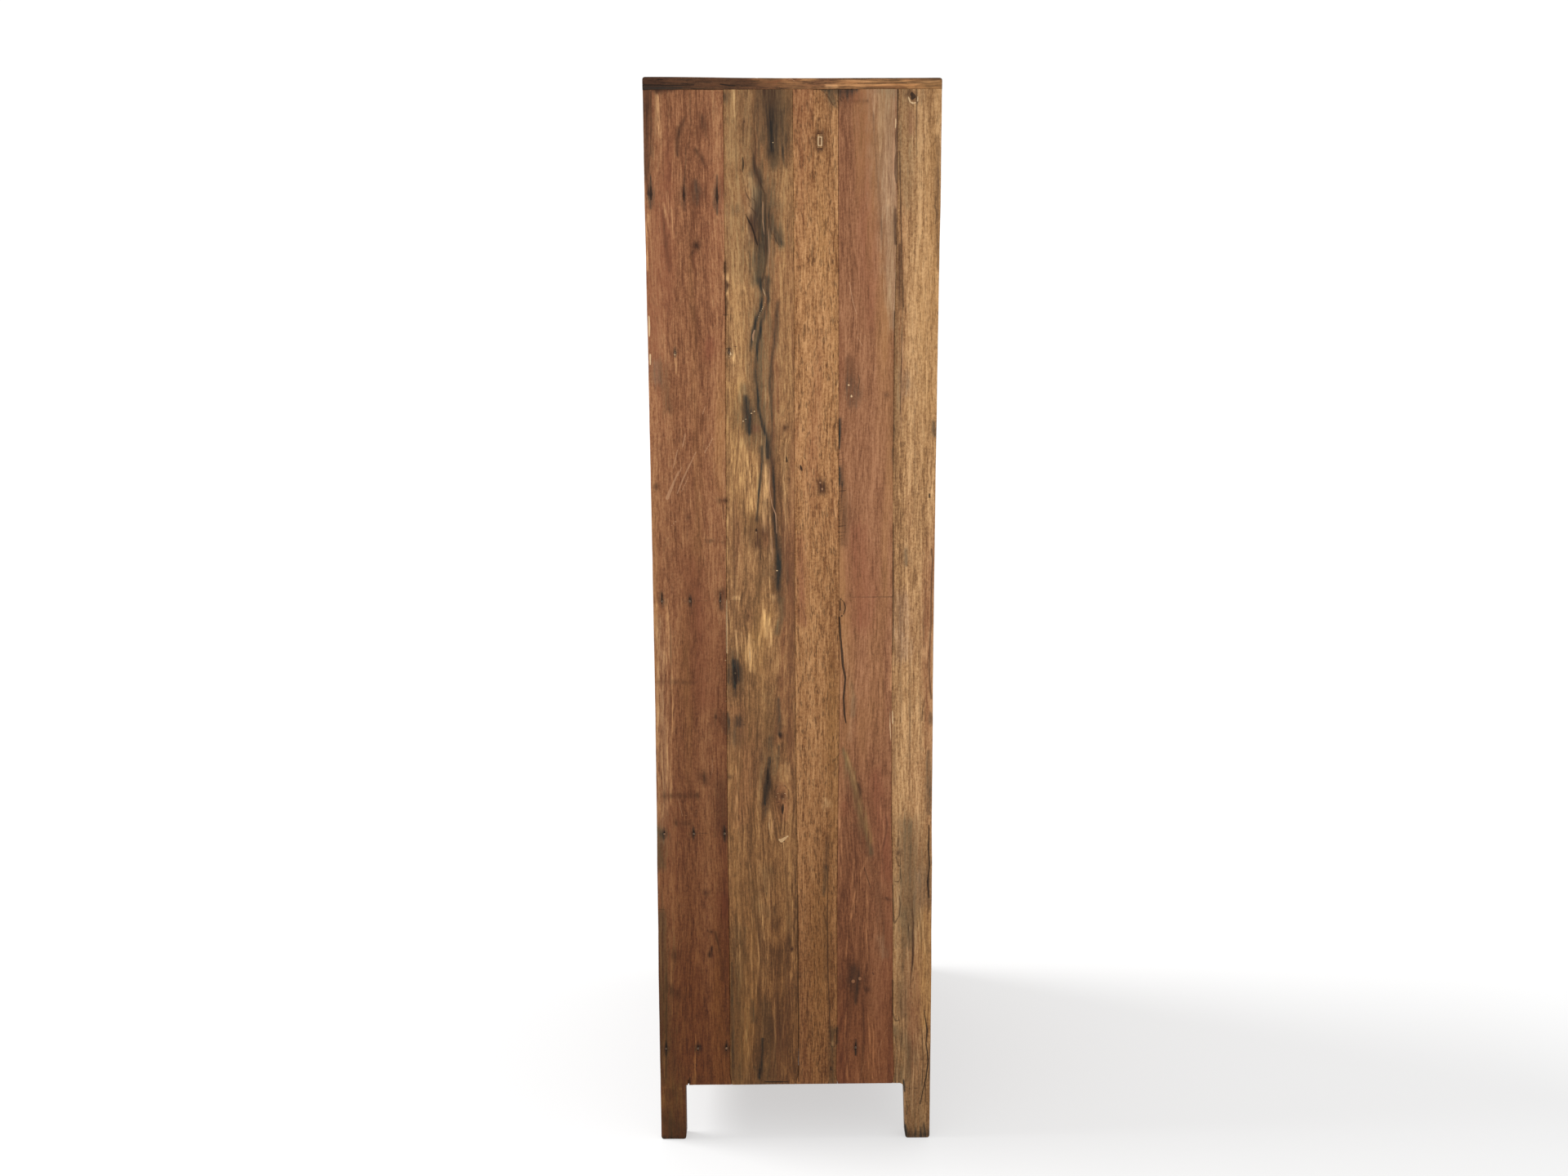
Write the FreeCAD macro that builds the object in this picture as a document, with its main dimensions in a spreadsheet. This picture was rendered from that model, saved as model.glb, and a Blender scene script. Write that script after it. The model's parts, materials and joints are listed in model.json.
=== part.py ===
import FreeCAD, Part
import os
import re
import Sketcher
from FreeCAD import Vector

os.makedirs("parts", exist_ok=True)
doc = FreeCAD.newDocument("open_shelf_unit")

# Driving sizes in millimetres. Y runs from the front, at minus half the depth, to the rear.
SIZES = {
    "unit_width": 700,
    "unit_depth": 450,
    "side_thick": 26,
    "top_thick": 19,
    "shelf_thick": 18,
    "bay_lowest": 352,
    "bay_lower": 364,
    "bay_upper": 370,
    "bay_highest": 380,
    "foot_height": 96,
    "front_foot_wide": 42,
    "rear_foot_wide": 44,
    "rear_foot_taper": 3,
    "foot_corner_radius": 5,
    "rear_notch_radius": 8,
    "lower_edge_rise": 2,
    "overcut_wide": 2,
    "overcut_tall": 10,
    "overcut_gap": 4,
    "front_arris": 1.5,
    "housing_deep": 8,
    "housing_slack": 0.2,
    "shelf_setback": 4,
    "shelf_nose_radius": 3,
    "apron_tall": 56,
    "apron_thick": 20,
    "rail_thick": 20,
    "back_thick": 12,
    "back_lap": 8,
    "rebate_wide": 10,
    "cleat_wide": 62,
    "cleat_corner_radius": 4,
    "tongue_long": 14,
    "tongue_thick": 5,
    "nail_head": 4.5,
    "nail_head_thick": 1.2,
    "nail_shank": 2.2,
    "nail_long": 40,
    "back_nail_long": 30,
    "patch_wide": 9,
    "patch_tall": 20,
    "patch_deep": 8,
    "patch_drop": 65,
    "cut_overrun": 2,
}
sheet = doc.addObject("Spreadsheet::Sheet", "Sizes")
for row, (alias, value) in enumerate(SIZES.items(), start=1):
    sheet.set(f"A{row}", alias)
    sheet.set(f"B{row}", str(value))
    sheet.setAlias(f"B{row}", alias)
doc.recompute()

# Places of seams and nails, as shares of the length that they divide, chosen by hand
RIGHT_SEAM_SHARES = (0, 0.265, 0.5, 0.656, 0.86, 1)
LEFT_SEAM_SHARES = (0, 0.18, 0.372, 0.615, 0.79, 1)
TOP_SEAM_SHARES = (0, 0.37, 0.68, 1)
BACK_SEAM_SHARES = (0, 0.158, 0.289, 0.431, 0.584, 0.709, 0.862, 1)
SHELF_SEAM_SHARES = {
    "bottom_shelf": (0, 0.36, 0.70, 1),
    "lower_shelf": (0, 0.29, 0.64, 1),
    "middle_shelf": (0, 0.41, 0.73, 1),
    "upper_shelf": (0, 0.33, 0.69, 1),
}
RIGHT_NAIL_SHARES = {
    "bottom_shelf": (0.023, 0.141, 0.246, 0.723),
    "lower_shelf": (0.030, 0.137, 0.248, 0.905),
    "middle_shelf": (0.036, 0.134, 0.241, 0.905),
    "upper_shelf": (0.095, 0.280, 0.905),
}
LEFT_NAIL_SHARES = {
    "bottom_shelf": (0.040, 0.130, 0.560, 0.900),
    "lower_shelf": (0.050, 0.150, 0.540, 0.910),
    "middle_shelf": (0.035, 0.145, 0.550, 0.880),
    "upper_shelf": (0.060, 0.140, 0.570, 0.890),
}
TOP_NAIL_SHARES = (0.07, 0.42, 0.93)
PATCH_SHARE = 0.592

# Heights over the floor, as sums of the sizes stacked from the feet up
SHELVES = tuple(SHELF_SEAM_SHARES)
SHELF_UNDER = {"bottom_shelf": "foot_height + apron_tall"}
for below, above, bay in zip(SHELVES, SHELVES[1:], ("bay_lowest", "bay_lower", "bay_upper")):
    SHELF_UNDER[above] = f"{SHELF_UNDER[below]} + shelf_thick + {bay}"
SIDE_TALL = f"{SHELF_UNDER['upper_shelf']} + shelf_thick + bay_highest"
BACK_FACE = "unit_depth - back_thick"
nodes = []


def bound(text):
    """An expression with each size's name pointing at its cell."""
    return re.sub(r"[a-z]\w*", lambda word: "Sizes." + word.group(), text)


def size(text):
    """The present value of an expression in the sizes."""
    return float(sheet.evalExpression(bound(text)))


def place(item, x="0", y="0", z="0"):
    """Bind an item's position to the sizes."""
    for axis, text in zip("xyz", (x, y, z)):
        item.setExpression(f"Placement.Base.{axis}", bound(text))


def new_body(label, x="0", y="0", z="0"):
    body = doc.addObject("PartDesign::Body", label)
    body.Label = label
    place(body, x, y, z)
    return body


def new_sketch(body, role, name, offset="0"):
    """A sketch on one of the body's own origin planes, moved along the plane's normal."""
    plane = next(item for item in body.Origin.OriginFeatures if item.Role == role)
    sketch = body.newObject("Sketcher::SketchObject", name)
    sketch.AttachmentSupport = [(plane, "")]
    sketch.MapMode = "FlatFace"
    sketch.setExpression("AttachmentOffset.Base.z", bound(offset))
    return sketch


def pin_point(sketch, edge, end, across, up):
    """Fix one end of a sketch line at two bound distances from the sketch's origin."""
    for kind, axis, text in (("DistanceX", -2, across), ("DistanceY", -1, up)):
        if text == "0":
            sketch.addConstraint(Sketcher.Constraint("PointOnObject", edge, end, axis))
            continue
        index = sketch.addConstraint(Sketcher.Constraint(kind, -1, 1, edge, end, size(text)))
        sketch.setExpression(f"Constraints[{index}]", bound(text))


def outline(sketch, corners):
    """A closed outline of straight lines through corners given as pairs of expressions."""
    points = [Vector(size(across), size(up), 0) for across, up in corners]
    first = sketch.GeometryCount
    for start, end in zip(points, points[1:] + points[:1]):
        sketch.addGeometry(Part.LineSegment(start, end), False)
    count = len(points)
    for number, (across, up) in enumerate(corners):
        edge = first + number
        following = first + (number + 1) % count
        sketch.addConstraint(Sketcher.Constraint("Coincident", edge, 2, following, 1))
        pin_point(sketch, edge, 1, across, up)


def rectangle(sketch, left, right, low, high):
    outline(sketch, [(left, low), (right, low), (right, high), (left, high)])


def pad(body, sketch, name, length, reverse=False):
    feature = body.newObject("PartDesign::Pad", name)
    feature.Profile = sketch
    feature.setExpression("Length", bound(length))
    feature.Reversed = reverse
    doc.recompute()


def pocket(body, sketch, name, depth, reverse=False):
    feature = body.newObject("PartDesign::Pocket", name)
    feature.Profile = sketch
    feature.setExpression("Length", bound(depth))
    feature.Reversed = reverse
    doc.recompute()


def dress_edges(body, name, kind, amount, wanted):
    """Fillet or chamfer the edges of the body's last feature that pass a test."""
    base = body.Tip
    edges = base.Shape.Edges
    names = [f"Edge{number}" for number, edge in enumerate(edges, start=1) if wanted(edge)]
    feature = body.newObject("PartDesign::" + kind, name)
    feature.Base = (base, names)
    feature.setExpression({"Fillet": "Radius", "Chamfer": "Size"}[kind], bound(amount))
    doc.recompute()


def middle(edge):
    return edge.valueAt((edge.FirstParameter + edge.LastParameter) / 2)


def near(value, text):
    """Whether a coordinate lies where an expression puts it."""
    return abs(value - size(text)) < FreeCAD.Base.Precision.approximation()


def lies_along(edge, axis):
    first, last = edge.Vertexes[0].Point, edge.Vertexes[-1].Point
    return abs(abs((last - first).dot(axis)) - (last - first).Length) < FreeCAD.Base.Precision.confusion()


def square_nail(name, spot, axis, inward, length):
    """A forged nail with a flat square head, flush with the face where its point enters."""
    boxes = []
    for part, wide, run in (("head", "nail_head", "nail_head_thick"), ("shank", "nail_shank", length)):
        box = doc.addObject("Part::Box", f"{name}_{part}")
        for side, dimension, centre in zip("xyz", ("Length", "Width", "Height"), spot):
            extent = run if side == axis else wide
            start = f"{centre} - {wide} / 2"
            if side == axis:
                start = centre if inward > 0 else f"{centre} - {run}"
            box.setExpression(dimension, bound(extent))
            box.setExpression(f"Placement.Base.{side}", bound(start))
        boxes.append(box)
    nail = doc.addObject("Part::Fuse", name)
    nail.Base, nail.Tool = boxes
    return nail


def group(label, members):
    compound = doc.addObject("Part::Compound", label)
    compound.Label = label
    compound.Links = members
    nodes.append(compound)
    doc.recompute()
    return compound


def bored(label, body, tool):
    """The body with the nails' own shapes cut out of it, as the node of that name."""
    body.Label = label + "_blank"
    cut = doc.addObject("Part::Cut", label)
    cut.Label = label
    cut.Base = body
    cut.Tool = tool
    nodes.append(cut)


# Nails of the sides, one row at the middle of each shelf's thickness
def side_nails(side, outer, inward, nail_shares):
    nails = []
    for shelf in SHELVES:
        height = f"{SHELF_UNDER[shelf]} + shelf_thick / 2"
        for number, share in enumerate(nail_shares[shelf], start=1):
            along = f"unit_depth * {share} - unit_depth / 2"
            name = f"{side}_{shelf}_nail_{number}"
            nails.append(square_nail(name, (outer, along, height), "x", inward, "nail_long"))
    return group(f"{side}_side_nails", nails)


right_nails = side_nails("right", "unit_width / 2", -1, RIGHT_NAIL_SHARES)
left_nails = side_nails("left", "-unit_width / 2", 1, LEFT_NAIL_SHARES)

# Nails of the top, down through each cleat into the middle of the side below
top_members = []
for side, sign in (("left", "-"), ("right", "")):
    for number, share in enumerate(TOP_NAIL_SHARES, start=1):
        across = f"{sign}(unit_width / 2 - side_thick / 2)"
        along = f"unit_depth * {share} - unit_depth / 2"
        height = f"{SIDE_TALL} + top_thick"
        name = f"{side}_top_nail_{number}"
        top_members.append(square_nail(name, (across, along, height), "z", -1, "nail_long"))
top_nails = group("top_nails", top_members)

# Nails of the back, through the middle of each board into the rear edge of each shelf
BACK_WIDE = "unit_width - side_thick * 2 + rebate_wide * 2"
back_members = []
for shelf in SHELVES:
    for number, (start, end) in enumerate(zip(BACK_SEAM_SHARES, BACK_SEAM_SHARES[1:]), start=1):
        across = f"({BACK_WIDE}) * {round((start + end) / 2 - 0.5, 4)}"
        height = f"{SHELF_UNDER[shelf]} + shelf_thick / 2"
        spot = (across, "unit_depth / 2", height)
        back_members.append(square_nail(f"back_{shelf}_nail_{number}", spot, "y", -1, "back_nail_long"))
back_nails = group("back_nails", back_members)

side_tools = {}
for side, nails in (("right", right_nails), ("left", left_nails)):
    tool = doc.addObject("Part::Compound", f"{side}_side_bores")
    tool.Links = [nails, top_nails]
    side_tools[side] = tool
shelf_tool = doc.addObject("Part::Compound", "shelf_bores")
shelf_tool.Links = [right_nails, left_nails, back_nails]
doc.recompute()


# Side panels: upright boards, edge to edge, the outer two with a sawn foot
def lower_edge(share):
    """Height of the panel's sawn lower edge at a share of the depth."""
    return f"foot_height + lower_edge_rise * {share}"


def front_board_corners(end):
    seam = f"unit_depth * {end}"
    return [
        ("0", "0"),
        ("front_foot_wide", "0"),
        ("front_foot_wide", "foot_height + lower_edge_rise * front_foot_wide / unit_depth"),
        (seam, lower_edge(end)),
        (seam, SIDE_TALL),
        ("0", SIDE_TALL),
    ]


def rear_board_corners(start):
    seam = f"unit_depth * {start}"
    notch = "unit_depth - rear_foot_wide"
    return [
        ("unit_depth", "0"),
        ("unit_depth", SIDE_TALL),
        (seam, SIDE_TALL),
        (seam, lower_edge(start)),
        (notch, f"foot_height + lower_edge_rise * ({notch}) / unit_depth"),
        (f"{notch} + rear_foot_taper", "0"),
    ]


def middle_board_corners(start, end):
    front, rear = f"unit_depth * {start}", f"unit_depth * {end}"
    return [(front, lower_edge(start)), (rear, lower_edge(end)), (rear, SIDE_TALL), (front, SIDE_TALL)]


def inner_pocket(body, name, left, right, low, high, depth, inward):
    """A rectangular recess sunk into the panel's inner face."""
    inner_face = "side_thick" if inward > 0 else "-side_thick"
    sketch = new_sketch(body, "YZ_Plane", name + "_outline", inner_face)
    rectangle(sketch, left, right, low, high)
    pocket(body, sketch, name, depth, reverse=inward < 0)


def shelf_housings(body, start, end, inward):
    """The recesses that take the shelf ends, over this board's share of the depth."""
    front = "shelf_setback" if start == 0 else f"unit_depth * {start}"
    rear = BACK_FACE if end == 1 else f"unit_depth * {end}"
    inner_face = "side_thick" if inward > 0 else "-side_thick"
    sketch = new_sketch(body, "YZ_Plane", "shelf_housing_outlines", inner_face)
    for shelf in SHELVES:
        low = SHELF_UNDER[shelf]
        rectangle(sketch, front, rear, low, f"{low} + shelf_thick + housing_slack")
    pocket(body, sketch, "shelf_housings", "housing_deep", reverse=inward < 0)


def side_board(side, number, shares, outer, inward):
    start, end = shares[number - 1], shares[number]
    label = f"{side}_side_board_{number}"
    body = new_body(label, outer, "-unit_depth / 2")
    sketch = new_sketch(body, "YZ_Plane", "board_outline")
    if start == 0:
        outline(sketch, front_board_corners(end))
    elif end == 1:
        outline(sketch, rear_board_corners(start))
    else:
        outline(sketch, middle_board_corners(start, end))
    pad(body, sketch, "board", "side_thick", reverse=inward < 0)
    if start == 0:
        finish_front_board(body, inward)
    elif end == 1:
        finish_rear_board(body, inward)
    if side == "right" and start < PATCH_SHARE < end:
        cut_patch_mortise(body)
    shelf_housings(body, start, end, inward)
    bored(label, body, side_tools[side])


def finish_front_board(body, inward):
    """Rounded foot corners, eased front arrises, the overcut and the apron's housing."""
    dress_edges(body, "front_arrises", "Chamfer", "front_arris",
                lambda edge: lies_along(edge, Vector(0, 0, 1)) and near(middle(edge).y, "0"))
    dress_edges(body, "foot_corners", "Fillet", "foot_corner_radius",
                lambda edge: lies_along(edge, Vector(1, 0, 0)) and near(middle(edge).z, "0"))
    overcut = new_sketch(body, "YZ_Plane", "overcut_outline")
    left = "front_foot_wide + overcut_gap"
    low, high = "foot_height - cut_overrun", "foot_height + overcut_tall"
    rectangle(overcut, left, f"{left} + overcut_wide", low, high)
    pocket(body, overcut, "overcut", "side_thick", reverse=inward > 0)
    inner_pocket(body, "apron_housing", "shelf_setback", "shelf_setback + apron_thick",
                 "foot_height", "foot_height + apron_tall", "housing_deep", inward)


def finish_rear_board(body, inward):
    """Rounded foot and notch, the rebate for the back boards and the rail's housing."""
    notch = "unit_depth - rear_foot_wide"
    dress_edges(body, "foot_corners", "Fillet", "foot_corner_radius",
                lambda edge: lies_along(edge, Vector(1, 0, 0)) and near(middle(edge).z, "0"))
    dress_edges(body, "notch_corner", "Fillet", "rear_notch_radius",
                lambda edge: lies_along(edge, Vector(1, 0, 0)) and near(middle(edge).y, notch))
    inner_pocket(body, "back_rebate", BACK_FACE, "unit_depth + cut_overrun",
                 "foot_height", f"{SIDE_TALL} + cut_overrun", "rebate_wide", inward)
    inner_pocket(body, "rail_housing", f"{BACK_FACE} - rail_thick", BACK_FACE,
                 "foot_height", "foot_height + apron_tall", "housing_deep", inward)


# The patch let into the outer face of the right side, where an old mortise was
PATCH_LEFT = f"unit_depth * {PATCH_SHARE} - patch_wide / 2"
PATCH_RIGHT = f"unit_depth * {PATCH_SHARE} + patch_wide / 2"
PATCH_LOW = f"{SIDE_TALL} - patch_drop - patch_tall"
PATCH_HIGH = f"{SIDE_TALL} - patch_drop"


def cut_patch_mortise(body):
    mortise = new_sketch(body, "YZ_Plane", "mortise_outline")
    rectangle(mortise, PATCH_LEFT, PATCH_RIGHT, PATCH_LOW, PATCH_HIGH)
    pocket(body, mortise, "patch_mortise", "patch_deep")


def patch():
    body = new_body("right_side_patch", "unit_width / 2", "-unit_depth / 2")
    sketch = new_sketch(body, "YZ_Plane", "patch_outline")
    rectangle(sketch, PATCH_LEFT, PATCH_RIGHT, PATCH_LOW, PATCH_HIGH)
    pad(body, sketch, "patch", "patch_deep", reverse=True)
    nodes.append(body)


for board in range(1, len(RIGHT_SEAM_SHARES)):
    side_board("right", board, RIGHT_SEAM_SHARES, "unit_width / 2", -1)
for board in range(1, len(LEFT_SEAM_SHARES)):
    side_board("left", board, LEFT_SEAM_SHARES, "-unit_width / 2", 1)
patch()

# Shelves: planks side by side from the setback to the back boards, ends in the housings
HOUSED_LONG = "unit_width - side_thick * 2 + housing_deep * 2"
SHELF_DEEP = f"{BACK_FACE} - shelf_setback"


def plank_span(number, shares):
    """Front and rear of a shelf plank, from the shelf's front edge."""
    front = f"({SHELF_DEEP}) * {shares[number - 1]}" if number > 1 else "0"
    return front, f"({SHELF_DEEP}) * {shares[number]}"


def shelf_plank(shelf, number, shares):
    """A plank drawn in section and run along the shelf, its front edge eased on the first."""
    label = f"{shelf}_plank_{number}"
    body = new_body(label, f"-({HOUSED_LONG}) / 2", "shelf_setback - unit_depth / 2", SHELF_UNDER[shelf])
    sketch = new_sketch(body, "YZ_Plane", "plank_section")
    front, rear = plank_span(number, shares)
    rectangle(sketch, front, rear, "0", "shelf_thick")
    pad(body, sketch, "plank", HOUSED_LONG)
    if number == 1:
        dress_edges(body, "front_arrises", "Fillet", "shelf_nose_radius",
                    lambda edge: lies_along(edge, Vector(1, 0, 0)) and near(middle(edge).y, "0"))
    bored(label, body, shelf_tool)


for shelf, seam_shares in SHELF_SEAM_SHARES.items():
    for plank in range(1, len(seam_shares)):
        shelf_plank(shelf, plank, seam_shares)


# Rails under the bottom shelf, both housed in the sides
def cross_rail(label, front, thick):
    body = new_body(label, f"-({HOUSED_LONG}) / 2", f"{front} - unit_depth / 2", "foot_height")
    sketch = new_sketch(body, "YZ_Plane", "rail_section")
    rectangle(sketch, "0", thick, "0", "apron_tall")
    pad(body, sketch, "rail", HOUSED_LONG)
    nodes.append(body)


cross_rail("front_apron", "shelf_setback", "apron_thick")
cross_rail("back_rail", f"{BACK_FACE} - rail_thick", "rail_thick")

# Back boards: upright, half lapped over their neighbours, ends of the row in the side rebates
HALF_BACK = "back_thick / 2"


def back_board(number, shares):
    """A board drawn in plan, with a rear lip on its left edge and a front lip on its right."""
    left = f"({BACK_WIDE}) * {shares[number - 1]}" if number > 1 else "0"
    right = f"({BACK_WIDE}) * {shares[number]}"
    lap_left = f"{left} - back_lap" if number > 1 else "0"
    lap_right = f"{right} - back_lap" if number < len(shares) - 1 else right
    corners = [(left, "0"), (right, "0"), (right, HALF_BACK)]
    if lap_right != right:
        corners.append((lap_right, HALF_BACK))
    corners.append((lap_right, "back_thick"))
    corners.append((lap_left, "back_thick"))
    if lap_left != left:
        corners += [(lap_left, HALF_BACK), (left, HALF_BACK)]
    front_face = f"{BACK_FACE} - unit_depth / 2"
    body = new_body(f"back_board_{number}", f"-({BACK_WIDE}) / 2", front_face, "foot_height")
    sketch = new_sketch(body, "XY_Plane", "board_plan")
    outline(sketch, corners)
    pad(body, sketch, "board", f"{SIDE_TALL} - foot_height")
    bored(f"back_board_{number}", body, back_nails)


for board in range(1, len(BACK_SEAM_SHARES)):
    back_board(board, BACK_SEAM_SHARES)

# Top: long planks tongued into a cleat at each end
TOP_LONG = "unit_width - cleat_wide * 2"
TONGUE_LOW = "(top_thick - tongue_thick) / 2"
TONGUE_HIGH = "(top_thick + tongue_thick) / 2"


def top_plank(number, shares):
    """A plank drawn in elevation, with a tongue at each end."""
    front = f"unit_depth * {shares[number - 1]}"
    body = new_body(f"top_plank_{number}", f"-({TOP_LONG}) / 2", f"{front} - unit_depth / 2", SIDE_TALL)
    sketch = new_sketch(body, "XZ_Plane", "plank_elevation")
    outline(sketch, [
        ("0", "0"),
        (TOP_LONG, "0"),
        (TOP_LONG, TONGUE_LOW),
        (f"{TOP_LONG} + tongue_long", TONGUE_LOW),
        (f"{TOP_LONG} + tongue_long", TONGUE_HIGH),
        (TOP_LONG, TONGUE_HIGH),
        (TOP_LONG, "top_thick"),
        ("0", "top_thick"),
        ("0", TONGUE_HIGH),
        ("-tongue_long", TONGUE_HIGH),
        ("-tongue_long", TONGUE_LOW),
        ("0", TONGUE_LOW),
    ])
    pad(body, sketch, "plank", f"unit_depth * {round(shares[number] - shares[number - 1], 4)}", reverse=True)
    nodes.append(body)


def top_cleat(side, sign):
    """An end cleat drawn in elevation, grooved on its inner edge, its end corners rounded."""
    label = f"top_{side}_cleat"
    inner = f"{sign}cleat_wide"
    groove = f"{sign}(cleat_wide - tongue_long - housing_slack)"
    corner = "-unit_width / 2" if side == "left" else "unit_width / 2"
    body = new_body(label, corner, "-unit_depth / 2", SIDE_TALL)
    sketch = new_sketch(body, "XZ_Plane", "cleat_elevation")
    outline(sketch, [
        ("0", "0"),
        (inner, "0"),
        (inner, TONGUE_LOW),
        (groove, TONGUE_LOW),
        (groove, TONGUE_HIGH),
        (inner, TONGUE_HIGH),
        (inner, "top_thick"),
        ("0", "top_thick"),
    ])
    pad(body, sketch, "cleat", "unit_depth", reverse=True)
    dress_edges(body, "end_corners", "Fillet", "cleat_corner_radius",
                lambda edge: lies_along(edge, Vector(1, 0, 0)) and near(middle(edge).z, "top_thick"))
    bored(label, body, top_nails)


for plank in range(1, len(TOP_SEAM_SHARES)):
    top_plank(plank, TOP_SEAM_SHARES)
top_cleat("left", "")
top_cleat("right", "-")
doc.recompute()

# Every feature is sound, every recess removes wood, and every node is a valid solid or group
for item in doc.Objects:
    if {"Invalid", "Error"} & set(item.State):
        raise RuntimeError(f"{item.Label} did not build: {item.State}")
    if item.TypeId == "PartDesign::Pocket" and item.Shape.Volume >= item.BaseFeature.Shape.Volume:
        raise RuntimeError(f"{item.Label} cuts nothing")
for node in nodes:
    if node.Shape.isNull() or not node.Shape.isValid():
        raise RuntimeError(f"{node.Label} has no valid shape")
    node.Shape.exportStep(f"parts/{node.Label}.step")
print(len(nodes), "nodes,", sum(len(node.Shape.Solids) for node in nodes), "solids")
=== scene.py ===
import json
import math

import bpy
import numpy as np
from mathutils import Matrix, Vector


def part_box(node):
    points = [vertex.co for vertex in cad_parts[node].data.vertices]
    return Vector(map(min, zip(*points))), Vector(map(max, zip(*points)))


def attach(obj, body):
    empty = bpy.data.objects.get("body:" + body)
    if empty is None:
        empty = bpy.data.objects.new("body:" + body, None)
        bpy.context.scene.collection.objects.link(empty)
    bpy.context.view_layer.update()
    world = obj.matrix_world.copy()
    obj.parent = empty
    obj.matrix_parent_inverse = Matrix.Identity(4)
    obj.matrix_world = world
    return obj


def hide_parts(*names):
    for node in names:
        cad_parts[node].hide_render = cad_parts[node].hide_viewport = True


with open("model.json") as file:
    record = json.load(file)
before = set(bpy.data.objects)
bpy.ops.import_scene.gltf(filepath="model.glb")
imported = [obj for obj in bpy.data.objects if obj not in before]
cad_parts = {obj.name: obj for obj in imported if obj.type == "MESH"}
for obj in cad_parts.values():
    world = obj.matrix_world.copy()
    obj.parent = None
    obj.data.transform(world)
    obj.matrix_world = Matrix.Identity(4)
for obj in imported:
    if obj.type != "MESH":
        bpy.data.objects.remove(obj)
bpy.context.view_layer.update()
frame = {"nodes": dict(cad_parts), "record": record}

# The camera, fitted to the panel's converging edges in the photograph
PHOTO_WIDE, PHOTO_TALL = 1920, 1440
FOCAL_PIXELS = 1700
PITCH, YAW, ROLL = math.radians(8.37), math.radians(0.241), math.radians(-0.234)
CAMERA_OUT, CAMERA_ALONG, CAMERA_UP = 2.1699, 0.2003, 1.2529

# Sizes of the part that the worn boards follow, in millimetres
METRE = 1000.0
SIDE_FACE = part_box("right_side_board_5")[1].x
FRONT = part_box("right_side_board_1")[0].y
SIDE_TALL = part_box("right_side_board_1")[1].z * METRE
FRONT_MM, REAR_MM = FRONT * METRE, -FRONT * METRE
SIDE_THICK, REBATE_WIDE = 26.0, 10.0
BACK_THICK, BACK_LAP = 12.0, 8.0
TOP_THICK, TONGUE_LONG, TONGUE_LOW, TONGUE_HIGH = 19.0, 14.2, 7.0, 12.0
CLEAT_ROUND = 4.0
FOOT_HIGH, FOOT_IN, REAR_IN, FOOT_TAPER = 96.0, FRONT_MM + 42.0, FRONT_MM + 406.0, 3.0
FOOT_ROUND, NOTCH_ROUND, EDGE_RISE = 5.0, 8.0, 2.0
SLOT_LOW, SLOT_HIGH, SLOT_TALL, SLOT_DEEP = FOOT_IN + 4.0, FOOT_IN + 6.0, 106.0, 5.0
PIXEL = CAMERA_OUT / FOCAL_PIXELS * METRE


def camera_axes():
    """Forward, right and up of the camera: it looks along -X, turned, pitched down and rolled."""
    forward, right, up = np.array([-1.0, 0, 0]), np.array([0, 1.0, 0]), np.array([0, 0, 1.0])
    forward, right = (math.cos(YAW) * forward + math.sin(YAW) * right,
                      -math.sin(YAW) * forward + math.cos(YAW) * right)
    forward, up = (math.cos(PITCH) * forward - math.sin(PITCH) * up,
                   math.sin(PITCH) * forward + math.cos(PITCH) * up)
    right, up = (math.cos(ROLL) * right + math.sin(ROLL) * up,
                 -math.sin(ROLL) * right + math.cos(ROLL) * up)
    return forward, right, up


FORWARD, RIGHT, UP = camera_axes()
CAMERA_PLACE = np.array([SIDE_FACE + CAMERA_OUT, FRONT + CAMERA_ALONG, CAMERA_UP])


def on_panel(x, y):
    """Place along Y and over the floor, in millimetres, of a pixel of the photograph on the side's face."""
    ray = FORWARD * FOCAL_PIXELS + (x - PHOTO_WIDE / 2) * RIGHT + (PHOTO_TALL / 2 - y) * UP
    place = CAMERA_PLACE - ray * CAMERA_OUT / ray[0]
    return place[1] * METRE, place[2] * METRE


# How far the long edges are worn back, in millimetres, at rows of the photograph
WORN_ROWS = (250, 300, 380, 430, 530, 580, 680, 780, 830, 880, 1020, 1060, 1140, 1190)
WORN_FRONT = (0, 0.5, 0.7, 1.2, 1.4, 1.6, 2.1, 2.2, 2.3, 2.3, 1.6, 0.9, 0.8, 0)
WORN_REAR = (0, 0.8, 1.3, 1.8, 2.2, 2.6, 2.9, 3.1, 3.2, 2.7, 2.2, 1.1, 0.9, 0)
WORN_HEIGHTS = [on_panel(PHOTO_WIDE / 2, row)[1] for row in WORN_ROWS]
TOP_WORN, TOP_WORN_ALL = 2.7, 10.0


def worn_back(height, depths):
    return np.interp(height, WORN_HEIGHTS[::-1], depths[::-1])


def worn_top(along):
    """How far the top is worn down: nothing at the front, all of it behind the middle."""
    return TOP_WORN * smooth(FRONT_MM, TOP_WORN_ALL, along)


def make_camera():
    data = bpy.data.cameras.new("photo_camera")
    data.sensor_width = 36.0
    data.lens = FOCAL_PIXELS / PHOTO_WIDE * data.sensor_width
    camera = bpy.data.objects.new("photo_camera", data)
    axes = Matrix([[RIGHT[k], UP[k], -FORWARD[k]] for k in range(3)]).to_4x4()
    camera.matrix_world = Matrix.Translation(Vector(CAMERA_PLACE)) @ axes
    bpy.context.scene.collection.objects.link(camera)
    bpy.context.scene.camera = camera


# Smooth random fields over a face, from values at the corners of cells that look like chance
TURN_I, TURN_J, TURN_SEED, SPREAD = 127.1, 311.7, 74.7, 43758.5453


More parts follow.
